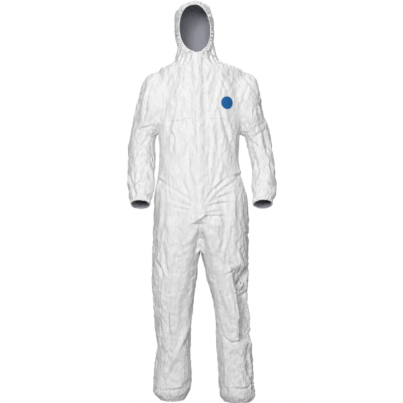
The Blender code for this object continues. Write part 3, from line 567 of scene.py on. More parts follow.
def build_garment():
    made = Garment()
    levels, trunk = trunk_rings()
    hood_levels, hood_left, hood_right = hood_rings()
    for name, rings in zip(QUARTERS, trunk):
        made.add(name, rings, False)
    made.add("hood_left", hood_left, False)
    made.add("hood_right", hood_right, False)
    first = [q[0] for q in trunk]
    turn = np.linspace(0, 1, WALL + 1)
    back_middle, front_middle = first[1][-1], first[0][0]
    wall = back_middle + (front_middle - back_middle) * turn[:, None]
    wall[:, 2] -= 0.036 * np.sin(np.pi * turn) ** 0.7
    for side, front, back in (
        (1, trunk[0][:, -1], trunk[1][:, 0]),
        (-1, trunk[3][:, 0], trunk[2][:, -1]),
    ):
        made.add(f"sleeve{side}", sleeve_rings(side, levels, front, back), True)
    made.add("leg1", leg_rings(1, first[0], first[1], wall), True)
    made.add("leg-1", leg_rings(-1, first[3][::-1], first[2][::-1], wall), True)
    made.weld()
    made.levels, made.hood_levels = levels, hood_levels
    made.relax()
    return made


# ---- wrinkles and drape ----
def ridges(points, across, along, seed):
    """Creases that run mostly up and down: across and along are how many there are to a metre."""
    out = np.empty(len(points))
    for i, (x, y, z) in enumerate(points.tolist()):
        at = Vector((x * across + seed, y * across, z * along))
        at += 0.7 * noise.noise_vector(at * 0.6)
        out[i] = 0.5 - 2 * abs(noise.noise(at))
    return out


def near(x, middle, width):
    return np.exp(-(((x - middle) / width) ** 2))


def held_and_roomy(garment):
    """How firmly each point is held, and how much roomier than its shape it is cut, both 0 to 1."""
    rest, grids = garment.rest, garment.grids
    held = np.full(len(rest), 0.04)
    roomy = np.full(len(rest), 0.30)
    slot = garment.levels >= ZIP_LOW.z
    held[grids["front_left"][slot, 0]] = held[grids["front_right"][slot, -1]] = 1
    for name in QUARTERS:
        held[grids[name][-1]] = 1
        z = rest[grids[name], 2]
        roomy[grids[name]] = 0.35 + 0.25 * near(z, 1.07, 0.06) + 0.1 * near(z, 0.80, 0.05)
    opening = np.abs(garment.hood_levels - FACE[1]) <= FACE[3] + 1e-6
    held[grids["hood_left"][opening, 0]] = held[grids["hood_right"][opening, -1]] = 1
    held[grids["hood_left"][0]] = held[grids["hood_right"][0]] = 1
    for side in (1, -1):
        leg, sleeve = grids[f"leg{side}"], grids[f"sleeve{side}"]
        z = rest[leg, 2]
        roomy[leg] = (
            0.45 + 0.4 * near(z, 0.40, 0.10) + 0.25 * near(z, 0.06, 0.05) + 0.1 * near(z, 0.66, 0.06)
        )
        along = np.linspace(0, 1, len(sleeve))[:, None] * np.ones(sleeve.shape[1])
        roomy[sleeve] = 0.45 + 0.4 * near(along, 0.5, 0.16) + 0.1 * near(along, 0.12, 0.1)
        held[sleeve[-3:]] = held[leg[-2:]] = 1
        held[sleeve[0]] = np.maximum(held[sleeve[0]], 0.45)
    away = np.hypot(rest[:, 0] - BADGE[0], rest[:, 2] - BADGE[1]) + 9.0 * (rest[:, 1] > 0)
    held = np.maximum(held, np.clip((0.046 - away) / 0.018, 0, 1))
    return held, roomy


def ordered_mesh(points, faces):
    """A mesh whose edges are in a fixed order, because the simulation's result depends on it."""
    sizes = np.array([len(face) for face in faces])
    corners = np.concatenate(faces)
    starts = np.cumsum(sizes) - sizes
    following = np.arange(1, len(corners) + 1)
    following[starts + sizes - 1] = starts
    pairs = np.sort(np.column_stack((corners, corners[following])), axis=1)
    edges, numbers = np.unique(pairs, axis=0, return_inverse=True)
    mesh = bpy.data.meshes.new("ordered")
    mesh.vertices.add(len(points))
    mesh.edges.add(len(edges))
    mesh.loops.add(len(corners))
    mesh.polygons.add(len(faces))
    mesh.vertices.foreach_set("co", points.ravel())
    mesh.edges.foreach_set("vertices", edges.ravel())
    mesh.loops.foreach_set("vertex_index", corners)
    mesh.loops.foreach_set("edge_index", numbers.reshape(-1))
    mesh.polygons.foreach_set("loop_start", starts)
    mesh.update()
    return mesh


def drape(garment, faces):
    """The garment's points after a short cloth simulation that lets the roomy fabric buckle."""
    held, roomy = held_and_roomy(garment)
    start = garment.rest
    seed = 0.0052 * ridges(start, 12, 4.5, 3.0) + 0.0038 * ridges(start, 24, 11, 9.0)
    start = start + vertex_normals(start, faces) * (seed * np.clip((1 - held) / 0.96, 0, 1))[:, None]
    cloth = placed("drape", ordered_mesh(start, faces))
    for name, values in (("held", held), ("roomy", roomy)):
        group = cloth.vertex_groups.new(name=name)
        steps = np.round(values * 50).astype(int)
        for step in np.unique(steps):
            group.add(np.flatnonzero(steps == step).tolist(), step / 50, "REPLACE")
    modifier = cloth.modifiers.new("Cloth", "CLOTH")
    settings = modifier.settings
    settings.quality = 4
    settings.mass = 0.1
    settings.air_damping = 1
    settings.tension_stiffness = settings.compression_stiffness = 15
    settings.shear_stiffness = 7.5
    settings.bending_stiffness = 0.1
    settings.tension_damping = settings.compression_damping = 5
    settings.bending_damping = 0.5
    settings.vertex_group_mass = "held"
    settings.pin_stiffness = 1
    settings.vertex_group_shrink = "roomy"
    settings.shrink_min = 0.0
    settings.shrink_max = -0.14
    settings.effector_weights.gravity = 0.03
    modifier.collision_settings.use_collision = False
    modifier.point_cache.frame_start = 1
    modifier.point_cache.frame_end = DRAPE_FRAMES
    for step in range(1, DRAPE_FRAMES + 1):
        bpy.context.scene.frame_set(step)
    done = cloth.evaluated_get(bpy.context.evaluated_depsgraph_get())
    out = np.empty(len(start) * 3, np.float32)
    done.data.vertices.foreach_get("co", out)
    bpy.data.objects.remove(cloth)
    bpy.context.scene.frame_set(1)
    return out.reshape(-1, 3).astype(float)


def refine(points, faces, grids):
    """The surface with every face cut in four and smoothed, and its grids of vertex numbers."""
    mesh = ordered_mesh(points, faces)
    coarse = placed("coarse", mesh)
    modifier = coarse.modifiers.new("Smooth", "SUBSURF")
    modifier.levels = 1
    done = coarse.evaluated_get(bpy.context.evaluated_depsgraph_get()).data
    out = np.empty(len(done.vertices) * 3, np.float32)
    done.vertices.foreach_get("co", out)
    ends = np.empty(len(mesh.edges) * 2, int)
    mesh.edges.foreach_get("vertices", ends)
    ends = np.sort(ends.reshape(-1, 2), axis=1)
    total = len(points)
    keys = ends[:, 0] * total + ends[:, 1]
    order = np.argsort(keys)

    def edge(a, b):
        key = np.minimum(a, b) * total + np.maximum(a, b)
        found = order[np.clip(np.searchsorted(keys[order], key), 0, len(keys) - 1)]
        return np.where(a == b, a, total + found)

    fine, done_faces = {}, 0
    for name, grid in grids.items():
        rows, columns = grid.shape
        new = np.empty((2 * rows - 1, 2 * columns - 1), int)
        new[::2, ::2] = grid
        new[::2, 1::2] = edge(grid[:, :-1], grid[:, 1:])
        new[1::2, ::2] = edge(grid[:-1], grid[1:])
        corners = np.stack((grid[:-1, :-1], grid[:-1, 1:], grid[1:, 1:], grid[1:, :-1]), axis=-1)
        distinct = (corners != np.roll(corners, 1, axis=-1)).sum(axis=-1) >= 3
        number = done_faces + np.cumsum(distinct).reshape(distinct.shape) - 1
        new[1::2, 1::2] = np.where(distinct, total + len(keys) + number, corners[..., 0])
        done_faces += int(distinct.sum())
        fine[name] = new
    bpy.data.objects.remove(coarse)
    return out.reshape(-1, 3).astype(float), fine


def fold_field(points, normals):
    """The height of the pressed and pulled folds at each point, in metres."""
    out = np.zeros(len(points))
    facing = smoothstep((-normals[:, 1] + 0.15) / 0.35)
    for width, height, path in FOLDS:
        path = np.array(path, float)
        low, high = path.min(axis=0) - 5 * width, path.max(axis=0) + 5 * width
        x, z = points[:, 0], points[:, 2]
        chosen = np.flatnonzero(
            (x > low[0]) & (x < high[0]) & (z > low[1]) & (z < high[1]) & (facing > 0)
        )
        x, z = x[chosen], z[chosen]
        best, side, share = np.full(len(x), 9.0), np.ones(len(x)), np.zeros(len(x))
        lengths = np.linalg.norm(np.diff(path, axis=0), axis=1)
        done = 0.0
        for (x0, z0), (x1, z1), length in zip(path[:-1], path[1:], lengths):
            dx, dz = (x1 - x0) / length, (z1 - z0) / length
            along = np.clip((x - x0) * dx + (z - z0) * dz, 0, length)
            ox, oz = x - x0 - along * dx, z - z0 - along * dz
            away = np.hypot(ox, oz)
            nearer = away < best
            best = np.where(nearer, away, best)
            side = np.where(nearer, np.sign(dx * oz - dz * ox), side)
            share = np.where(nearer, (done + along) / lengths.sum(), share)
            done += length
        taper = np.sin(np.pi * np.clip(share * 0.94 + 0.03, 0, 1)) ** 0.6
        signed = best * side / width
        shape = np.exp(-(signed**2)) - 0.55 * np.exp(-(((signed - 1.7) / 1.1) ** 2))
        out[chosen] += height * shape * taper * facing[chosen]
    return out


# ---- meshes of fabric ----
class Parts:
    """The points, normals and faces of one piece, gathered bit by bit."""

    def __init__(self):
        self.points, self.normals, self.faces, self.slots = [], [], [], []

    def add(self, points, normals, faces, slot=0):
        start = sum(len(p) for p in self.points)
        self.points.append(np.asarray(points, float))
        self.normals.append(np.asarray(normals, float))
        self.faces += [[start + v for v in face] for face in faces]
        self.slots += [slot] * len(faces)

    def add_sheet(self, points, normals, faces, thickness=THICKNESS):
        """Fabric with an outer and an inner layer and closed edges, from the points that the faces use."""
        used, flat = np.unique([v for face in faces for v in face], return_inverse=True)
        flat = flat.reshape(-1).tolist()
        count = len(used)
        outside, at = [], 0
        for face in faces:
            outside.append(flat[at : at + len(face)])
            at += len(face)
        inside = [[v + count for v in face[:1] + face[:0:-1]] for face in outside]
        sides = {(face[i - 1], v) for face in outside for i, v in enumerate(face)}
        rim = [[b, a, a + count, b + count] for a, b in sorted(sides) if (b, a) not in sides]
        outer, out = points[used], normals[used]
        both = np.concatenate((outer, outer - out * thickness))
        start = sum(len(p) for p in self.points)
        self.points.append(both)
        self.normals.append(np.concatenate((out, -out)))
        # the inner layer takes slot 1, which holds the grey painted-shade look for the shade inside the suit
        for group, slot in ((outside, 0), (inside, 1), (rim, 0)):
            self.faces += [[start + v for v in face] for face in group]
            self.slots += [slot] * len(group)

    def add_grid(self, grid_points, closed, thickness=THICKNESS, inwards=None, painted_shade_rows=0):
        """A sheet from a grid of points. Its inner side looks at inwards. Its first rows, as many as the last
        argument says, are grey: painted shade just inside the opening.
        """
        rows, columns = grid_points.shape[:2]
        numbers = np.arange(rows * columns).reshape(rows, columns)
        if closed:
            numbers = np.column_stack((numbers, numbers[:, 0]))
        flat = grid_points.reshape(-1, 3)
        faces = quads(numbers)
        normals = vertex_normals(flat, faces)
        if inwards is not None and ((flat - inwards) * normals).sum() < 0:
            faces, normals = quads(numbers, True), -normals
        start, count = len(self.slots), painted_shade_rows * (numbers.shape[1] - 1)
        self.add_sheet(flat, normals, faces, thickness)
        # slot 1 is the grey painted-shade look
        self.slots[start : start + count] = [1] * count

    def add_bead(self, path, normals, width=0.0032, height=0.0008, closed=False):
        """A low raised seam along a path on the surface."""
        path, normals = np.asarray(path), np.asarray(normals)
        if closed:
            tangent = np.roll(path, -1, axis=0) - np.roll(path, 1, axis=0)
        else:
            tangent = np.gradient(path, axis=0)
        across = np.cross(tangent, normals)
        across /= np.maximum(np.linalg.norm(across, axis=1, keepdims=True), 1e-9)
        rings = []
        for u, h in ((-1, -0.4), (-0.7, 0.6), (-0.25, 1), (0.25, 1), (0.7, 0.6), (1, -0.4)):
            rings.append(path + across * u * width / 2 + normals * h * height)
        grid_points = np.array(rings)
        rows, columns = grid_points.shape[:2]
        numbers = np.arange(rows * columns).reshape(rows, columns)
        numbers = np.vstack((numbers, numbers[:1]))
        if closed:
            numbers = np.column_stack((numbers, numbers[:, 0]))
        flat = grid_points.reshape(-1, 3)
        made = vertex_normals(flat, quads(numbers))
        inside_out = (made[2 * columns : 4 * columns] * np.tile(normals, (2, 1))).sum() < 0
        self.add(flat, -made if inside_out else made, quads(numbers, inside_out))

    def make(self, name, materials):
        mesh = bpy.data.meshes.new(name)
        points = np.concatenate(self.points) + (0, 0, HEM_Z)
        mesh.from_pydata(points, [], self.faces)
        mesh.polygons.foreach_set("material_index", self.slots)
        mesh.polygons.foreach_set("use_smooth", [True] * len(self.faces))
        for material in materials:
            mesh.materials.append(material)
        mesh.normals_split_custom_set_from_vertices(np.concatenate(self.normals).tolist())
        return placed(name, mesh)


class Fabric:
    """The draped garment: fine points, normals, faces by grid, and a tree for finding its surface."""

    def __init__(self, garment):
        coarse_faces = [f for grid in garment.grids.values() for f in quads(grid)]
        draped = drape(garment, coarse_faces)
        self.points, self.grids = refine(draped, coarse_faces, garment.grids)
        self.flips = {n: turned(self.points, g, n) for n, g in self.grids.items()}
        self.settle()
        height = fold_field(self.points, self.normals)
        small = 0.0012 * ridges(self.points, 30, 13, 63.0)
        small += 0.0014 * ridges(self.points, 56, 26, 21.0)
        small += 0.0009 * ridges(self.points, 115, 70, 5.0)
        height += small * self.wear() + self.crumple() - self.zip_end()
        self.gather_waist(height)
        self.flatten_neck(height)
        hood, away = self.open_edges(garment)
        height[hood] *= smoothstep(away / FACE_BAND)
        self.points = self.points + self.normals * height[:, None]
        self.notch()
        self.join_neck()
        self.open_edges(garment)
        self.settle()

    def open_edges(self, garment):
        """Finds the face's rim and what its gathered edge covers. Gives the hood's points and distances."""
        opening = np.abs(garment.hood_levels - FACE[1]) <= FACE[3] + 1e-6
        first, last = 2 * np.flatnonzero(opening)[[0, -1]]
        left, right = self.grids["hood_left"][:, 0], self.grids["hood_right"][:, -1]
        edge = np.concatenate((left[first : last + 1], right[last : first : -1]))
        order = np.sort(np.unique(edge, return_index=True)[1])
        self.face_rim = self.points[edge[order]]
        halves = (self.grids["hood_left"], self.grids["hood_right"])
        hood = np.unique(np.concatenate([half.ravel() for half in halves]))
        tree = tree_of(self.face_rim)
        away = np.array([tree.find(self.points[v])[2] for v in hood])
        self.covered = set(hood[away < FACE_BAND - 0.012].tolist())
        return hood, away

    def join_neck(self):
        """Brings the hood's first ring on to the trunk's last one."""
        rings = [self.points[self.grids[name][-1]] for name in QUARTERS]
        tree = tree_of(np.concatenate([spaced(ring, 600) for ring in rings]))
        first = np.concatenate((self.grids["hood_left"][0], self.grids["hood_right"][0]))
        for number in np.unique(first):
            place, _, away = tree.find(self.points[number])
            if away < 0.004:
                self.points[number] = place

    def settle(self):
        self.faces = [f for n, g in self.grids.items() for f in quads(g, self.flips[n])]
        self.normals = vertex_normals(self.points, self.faces)
        self.tree = BVHTree.FromPolygons(self.points.tolist(), self.faces)

    def wear(self):
        """How strongly the fabric is creased: little on the chest, most on the outer legs and sleeves."""
        x, z = np.abs(self.points[:, 0]), self.points[:, 2]
        low = smoothstep((0.80 - z) / 0.12)
        leg = 0.7 + 0.8 * smoothstep((x - 0.09) / 0.08)
        return 0.65 + low * leg + smoothstep((x - 0.19) / 0.02)

    def crumple(self):
        """The outer side of the left leg is pushed in and crumpled between thigh and shin."""
        x, y, z = self.points.T
        edge = np.interp(z, (0.27, 0.40, 0.48, 0.59), (0.165, 0.160, 0.148, 0.128))
        share = smoothstep((x - edge) / 0.014) * smoothstep((z - 0.262) / 0.02)
        share *= smoothstep((0.60 - z) / 0.05)
        share *= smoothstep((-self.normals[:, 1] + 0.15) / 0.35)
        creases = 0.0060 * ridges(self.points, 30, 24, 17.0)
        return share * (creases - 0.0080 - 0.45 * np.maximum(x - edge, 0))

    def zip_end(self):
        """The fronts sink a little below the zip, so that the tab of a lowered slider clears them."""
        x, y, z = self.points.T
        return 0.0075 * near(x, ZIP_LOW.x, 0.013) * near(z, ZIP_LOW.z - 0.005, 0.014) * (y < -0.05)

    def flatten_neck(self, height):
        """The seam between trunk and hood has no height of its own, so both sides of it meet."""
        for name in (*QUARTERS, "hood_left", "hood_right"):
            grid = self.grids[name]
            rows = grid if name.startswith("hood") else grid[::-1]
            for row, share in enumerate((0.0, 0.2, 0.6)):
                height[rows[row]] *= share

    def gather_waist(self, height):
        """The glued elastic draws the back of the waist into upright gathers."""
        x, y, z = self.points.T
        pull = near(z, 1.070, 0.030) * smoothstep((y - 0.01) / 0.05)
        wave = np.sin(x * 330 + 2.2 * np.sin(x * 71) + 0.8 * np.sin(z * 60))
        height += pull * (0.0026 * wave - 0.0050)

    def notch(self):
        """The face opening dips where the two sides of the zip meet."""
        x, y, z = self.points.T
        dip = np.clip(1 - np.abs(x + 0.0180) / 0.013, 0, 1) * near(z, FACE[1] - FACE[3], 0.008)
        self.points[:, 2] = z - 0.0055 * dip * (y < -0.08)

    def patch(self, name, rows=None, columns=None):
        grid = self.grids[name]
        grid = grid[slice(*rows) if rows else slice(None)]
        grid = grid[:, slice(*columns) if columns else slice(None)]
        faces = quads(grid, self.flips[name])
        if name.startswith("hood"):
            faces = [face for face in faces if not self.covered.issuperset(face)]
        return faces

    def outside(self, point, direction):
        """Where the surface is met from outside, coming in along -direction."""
        direction = Vector(direction).normalized()
        return self.tree.ray_cast(Vector(point) + direction * 0.25, -direction, 0.5)[0]

    def path(self, numbers):
        return self.points[numbers], self.normals[numbers]

    def seam(self, places):
        """Points and normals on the front of the fabric along a line through places given as x and z."""
        line = spaced(np.array([(x, -0.1, z) for x, z in places]), 60)
        hits = [self.tree.ray_cast(Vector((x, -0.4, z)), Vector((0, 1, 0))) for x, _, z in line]
        return [hit[0] for hit in hits], [hit[1] for hit in hits]


def cut(fabric, faces, lift=0.0):
    """The parts of a piece, begun with a sheet of the fabric."""
    parts = Parts()
    parts.add_sheet(fabric.points + fabric.normals * lift, fabric.normals, faces)
    return parts


# ---- gathered edges ----
def even_loop(points, count):
    return spaced(np.vstack((points, points[:1])), count)[:-1]


def even_out(directions, times):
    """Unit directions round a loop, each averaged with its neighbours."""
    for _ in range(times):
        around = np.roll(directions, 1, axis=0) + np.roll(directions, -1, axis=0)
        directions = (directions + around) / 3
        directions = directions / np.linalg.norm(directions, axis=1, keepdims=True)
    return directions


def march(fabric, rim, away, inside, width, step):
    """Points and normals row by row from the rim along the surface, and the direction taken at the rim."""
    tangent = np.roll(rim, -1, axis=0) - np.roll(rim, 1, axis=0)
    rows, normals = [rim], []
    place, heading = rim.copy(), None
    for _ in range(int(round(width / step)) + 1):
        normal = np.array([fabric.tree.find_nearest(Vector(p))[1] for p in place])
        normal *= np.sign((normal * (place - inside)).sum(axis=1, keepdims=True))
        if heading is None:
            first = np.cross(normal, tangent)
            first *= np.sign((first * away).sum(axis=1, keepdims=True))
            heading = even_out(first, 6)
            start = heading.copy()
        normal = even_out(normal, 3)
        normals.append(normal)
        heading -= (heading * normal).sum(axis=1, keepdims=True) * normal
        heading /= np.linalg.norm(heading, axis=1, keepdims=True)
        place = place + heading * step
        place = np.array([fabric.tree.find_nearest(Vector(p))[0] for p in place])
        place = 0.5 * place + 0.25 * (np.roll(place, 1, axis=0) + np.roll(place, -1, axis=0))
        rows.append(place)
    return np.array(rows[:-1]), np.array(normals), start


def gathered_edge(fabric, rim, away, inside, width, hem, folds, depth, seed, per_fold=8):
    """A rolled hem and the gathers that an elastic draws beside it, in rows from the opening outwards."""
    random = np.random.default_rng(seed)
    count = folds * per_fold
    rim = even_loop(rim, count)
    step = 0.0018
    base, normal, start = march(fabric, rim, away(rim), inside, width, step)
    turn = np.linspace(0, 2 * np.pi, count, endpoint=False)
    warp = sum(
        random.uniform(0.15, 0.5) / k * np.sin(k * turn + random.uniform(0, 6.3)) for k in (3, 7, 13, 19)
    )
    phase = turn / (2 * np.pi) * folds + 1.3 * warp
    fold = np.floor(phase).astype(int) % folds
    size = random.uniform(0.35, 1.0, folds)
    reach = random.uniform(0.45, 1.0, folds)
    rows = []
    for s, h in HEM_ROLL:
        rows.append(rim + start * s + normal[0] * h)
    for k in range(len(base)):
        s = k * step
        slant = 0.25 * np.sin(s / 0.006 + phase)
        valley = 0.5 - np.abs((phase + slant) % 1 - 0.5)
        crest = 0.75 - 1.85 * np.exp(-((valley / 0.17) ** 2))
        blend = 0.5 + 0.5 * np.cos(2 * np.pi * (phase % 1 - 0.5))
        strength = size[fold] * (0.60 + 0.40 * blend)
        up = smoothstep((s - hem * 0.8) / 0.004)
        down = 1 - smoothstep((s - 0.42 * width) / (0.55 * width * reach[fold]))
        hem_height = 0.0017 * (1 - smoothstep((s - hem) / 0.002)) + 0.0002 * np.sin(phase * 6.3)
        height = 0.0006 + hem_height + depth * up * down * strength * crest
        if s > 0.55 * width:
            height = np.maximum(height, 0.0006)
        if k == len(base) - 1:
            height = height * 0 - 0.0012
        rows.append(base[k] + normal[k] * height[:, None])
    return np.array(rows)


# ---- materials ----
def new_material(name, roughness):
    made = bpy.data.materials.new(name)
    made.use_nodes = True
    nodes, links = made.node_tree.nodes, made.node_tree.links
    shader = nodes["Principled BSDF"]
    shader.inputs["Roughness"].default_value = roughness
    return made, nodes, links, shader


def two_tones(nodes, links, shader, factor, colour, dark):
    """Mixes the colour with a darker one, as the factor says."""
    mix = nodes.new("ShaderNodeMix")
    mix.data_type = "RGBA"
    links.new(factor, mix.inputs["Factor"])
    mix.inputs["A"].default_value = (*colour, 1)
    mix.inputs["B"].default_value = (*(c * dark for c in colour), 1)
    links.new(mix.outputs["Result"], shader.inputs["Base Color"])


def fabric_material(name, colour, crease=1.0, roughness=0.52):
    """Bonded fibre sheet: soft sheen, faint mottle, tiny emboss and sharp paper-like creases."""
    made, nodes, links, shader = new_material(name, roughness)
    shader.inputs["Specular IOR Level"].default_value = 0.35
    shader.inputs["Sheen Weight"].default_value = 0.08
    place, mapping = nodes.new("ShaderNodeTexCoord"), nodes.new("ShaderNodeMapping")
    mapping.inputs["Scale"].default_value = (1.0, 1.0, 0.42)
    links.new(place.outputs["Object"], mapping.inputs["Vector"])

    def texture(scale, detail, source, kind="FBM"):
        made_noise = nodes.new("ShaderNodeTexNoise")
        made_noise.noise_type = kind
        if kind == "RIDGED_MULTIFRACTAL":
            made_noise.inputs["Offset"].default_value = 1.0
            made_noise.inputs["Gain"].default_value = 1.0
        made_noise.inputs["Scale"].default_value = scale
        made_noise.inputs["Detail"].default_value = detail
        links.new(source, made_noise.inputs["Vector"])
        return made_noise.outputs["Fac"]

    def bump(height, distance, strength, under):
        node = nodes.new("ShaderNodeBump")
        node.inputs["Distance"].default_value = distance
        node.inputs["Strength"].default_value = strength
        links.new(height, node.inputs["Height"])
        if under:
            links.new(under, node.inputs["Normal"])
        return node.outputs["Normal"]

    still = place.outputs["Object"]
    normal = bump(texture(34, 4, mapping.outputs[0], "RIDGED_MULTIFRACTAL"), 0.0040, 0.50 * crease, None)
    normal = bump(texture(95, 3, mapping.outputs[0], "RIDGED_MULTIFRACTAL"), 0.0014, 0.55 * crease, normal)
    normal = bump(texture(700, 2, still), 0.00012, 0.5, normal)
    links.new(normal, shader.inputs["Normal"])
    ramp = nodes.new("ShaderNodeMapRange")
    ramp.inputs["From Min"].default_value = 0.35
    ramp.inputs["From Max"].default_value = 0.70
    links.new(texture(240, 3, still), ramp.inputs["Value"])
    two_tones(nodes, links, shader, ramp.outputs[0], colour, 0.94)
    return made


def hard_material(name, colour, roughness, metallic=0.0, grain=900):
    """Moulded or cast: a fine grain in the surface and a faint change of tone."""
    made, nodes, links, shader = new_material(name, roughness)
    shader.inputs["Metallic"].default_value = metallic
    place, grit = nodes.new("ShaderNodeTexCoord"), nodes.new("ShaderNodeTexNoise")
    links.new(place.outputs["Object"], grit.inputs["Vector"])
    grit.inputs["Scale"].default_value = grain
    bump = nodes.new("ShaderNodeBump")
    bump.inputs["Distance"].default_value = 0.0001
    bump.inputs["Strength"].default_value = 0.3
    links.new(grit.outputs["Fac"], bump.inputs["Height"])
    links.new(bump.outputs["Normal"], shader.inputs["Normal"])
    two_tones(nodes, links, shader, grit.outputs["Fac"], colour, 0.90)
    return made


# ---- the pieces ----
def row_at(fabric, garment, name, z):
    """The fine row of a limb or of the trunk or hood whose height was z before it was draped."""
    heights = garment.rest[garment.grids[name]].mean(axis=1)[:, 2]
    if name.startswith(("front", "back")):
        heights = garment.levels
    if name.startswith("hood"):
        heights = garment.hood_levels
    return 2 * int(np.argmin(np.abs(heights - z)))


def declare(nodes):
    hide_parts(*nodes)


def bend_between(fabric, piece, first, second, ring_a, ring_b, along=None):
    """Raises an error if ring_a and ring_b lie less than 0.02 m apart along the way from one to the other, or
    along the given way, and then bakes the piece's placement into its mesh. first and second are not used.
    """
    a, b = fabric.points[np.unique(ring_a)], fabric.points[np.unique(ring_b)]
    along = np.array(along if along is not None else b.mean(axis=0) - a.mean(axis=0), float)
    along /= np.linalg.norm(along)
    low, high = (a @ along).max() + 0.001, (b @ along).min() - 0.001
    if high - low < 0.02:
        raise ValueError(f"{piece.name}: its two rings are only {high - low:.3f} m apart")
    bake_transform(piece)


def gusset_front(fabric):
    """Rows of the gusset's front end: a narrow wedge between the tops of the legs that turns under."""
    rows = []
    for z in np.linspace(0.790, 0.642, 30):
        share = (0.790 - z) / 0.148
        middle, half = 0.001 - 0.002 * share, 0.004 + 0.018 * share
        edge = []
        for side in (-1, 1):
            hit = fabric.outside((middle + side * half, -0.1, z), (0, -1, 0))
            edge.append(hit.y if hit and hit.y < -0.05 else -0.10)
        u = np.linspace(-1, 1, 13)
        y = edge[0] + (edge[1] - edge[0]) * (u + 1) / 2 + 0.0022 - 0.0040 * (1 - u**2)
        rows.append(np.column_stack((middle + u * half, y, z + 0.022 * share**2 * (1 - np.abs(u)))))
    for back, up in ((0.006, -0.003), (0.016, -0.002), (0.032, 0.006), (0.050, 0.018)):
        rows.append(rows[29] + (0, back, up))
    return np.array(rows)


def build_trunk(fabric, garment, looks):
    armpit = row_at(fabric, garment, "front_left", ARMHOLE[1] - ARMHOLE[3])
    shoulder = row_at(fabric, garment, "front_left", ARMHOLE[1] + ARMHOLE[3])
    for side, quarter in (("left", "front_left"), ("right", "front_right")):
        parts = cut(fabric, fabric.patch(quarter))
        parts.add_bead(*fabric.seam(CHEST_SEAMS[side]), 0.0042, 0.0016)
        panel = parts.make(f"{side}_front_cloth", looks)
        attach(panel, "torso")
        declare([f"front_{side}_panel"])
    parts = cut(fabric, fabric.patch("back_left") + fabric.patch("back_right"))
    for quarter, column in (("front_left", -1), ("front_right", 0)):
        grid = fabric.grids[quarter]
        parts.add_bead(*fabric.path(grid[: armpit + 1, column]))
        parts.add_bead(*fabric.path(grid[shoulder:, column]))
    for side in (1, -1):
        ring = fabric.grids[f"sleeve{side}"][0, :-1]
        parts.add_bead(*fabric.path(ring), closed=True)
    back = parts.make("back_cloth", looks)
    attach(back, "torso")
    declare(["back_panel"])
    # waist elastic, glued inside the back
    low, high = (row_at(fabric, garment, "back_left", z) for z in (1.062, 1.078))
    faces = fabric.patch("back_left", (low, high + 1)) + fabric.patch("back_right", (low, high + 1))
    waist = cut(fabric, faces, -0.0012).make("waist_elastic_band", looks)
    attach(waist, "torso")
    declare(["waist_elastic"])
    # crotch gusset, laid over the meeting of the two legs
    inner = (4 * COLUMNS - 2, None)
    faces = fabric.patch("leg1", (0, 5), inner) + fabric.patch("leg-1", (0, 5), inner)
    parts = cut(fabric, faces, 0.0011)
    parts.add_grid(gusset_front(fabric), False, inwards=np.array((0.0, 0.0, 0.74)))
    gusset = parts.make("crotch_gusset_cloth", looks)
    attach(gusset, "torso")
    declare(["crotch_gusset"])


def build_limbs(fabric, garment, looks):
    for side, word in ((1, "left"), (-1, "right")):
        name = f"leg{side}"
        grid = fabric.grids[name]
        rows = [0] + [row_at(fabric, garment, name, z) for z in (0.560, 0.478, 0.322)] + [len(grid) - 1]
        outer, inner = 2 * COLUMNS, 4 * COLUMNS + WALL
        for k, (part, bodies, length) in enumerate(
            (
                ("hip_fabric", ("torso", "upper_leg"), 0.20),
                ("thigh", ("upper_leg",), 0.08),
                ("knee_fabric", ("upper_leg", "lower_leg"), 0.16),
                ("shin", ("lower_leg",), 0.33),
            )
        ):
            first, last = rows[k], rows[k + 1]
            end = last - 4 if part == "shin" else last
            parts = cut(fabric, fabric.patch(name, (first, end + 1)))
            for column in (outer, inner):
                parts.add_bead(*fabric.path(grid[first : end + 1, column]))
            piece = parts.make(f"{word}_{part}_cloth", looks)
            bodies = [b if b == "torso" else f"{word}_{b}" for b in bodies]
            if len(bodies) == 1:
                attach(piece, bodies[0])
            elif part == "hip_fabric":
                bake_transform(piece)
            else:
                bend_between(fabric, piece, *bodies, grid[first], grid[last], (0, 0, -1))
            declare([f"{word}_{part}"])
        name = f"sleeve{side}"
        grid = fabric.grids[name]
        count = len(grid) - 1
        shoulder, elbow, wrist = (2 * int(round(count / 2 * share)) for share in SLEEVE_CUTS)
        for part, (first, last), bodies, length in (
            ("shoulder_fabric", (0, shoulder), ("torso", f"{word}_upper_arm"), 0.20),
            ("upper_sleeve", (shoulder, elbow), (f"{word}_upper_arm",), 0.05),
            ("elbow_fabric", (elbow, wrist), (f"{word}_upper_arm", f"{word}_lower_arm"), 0.14),
            ("forearm_sleeve", (wrist, count), (f"{word}_lower_arm",), 0.17),
        ):
            end = last - 6 if part == "forearm_sleeve" else last
            parts = cut(fabric, fabric.patch(name, (first, end + 1)))
            parts.add_bead(*fabric.path(grid[first : end + 1, 0]))
            piece = parts.make(f"{word}_{part}_cloth", looks)
            if len(bodies) == 1:
                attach(piece, bodies[0])
            else:
                along = (side * 0.97, 0, -0.24) if part == "shoulder_fabric" else None
                bend_between(fabric, piece, *bodies, grid[first], grid[last], along)
            declare([f"{word}_{part}"])


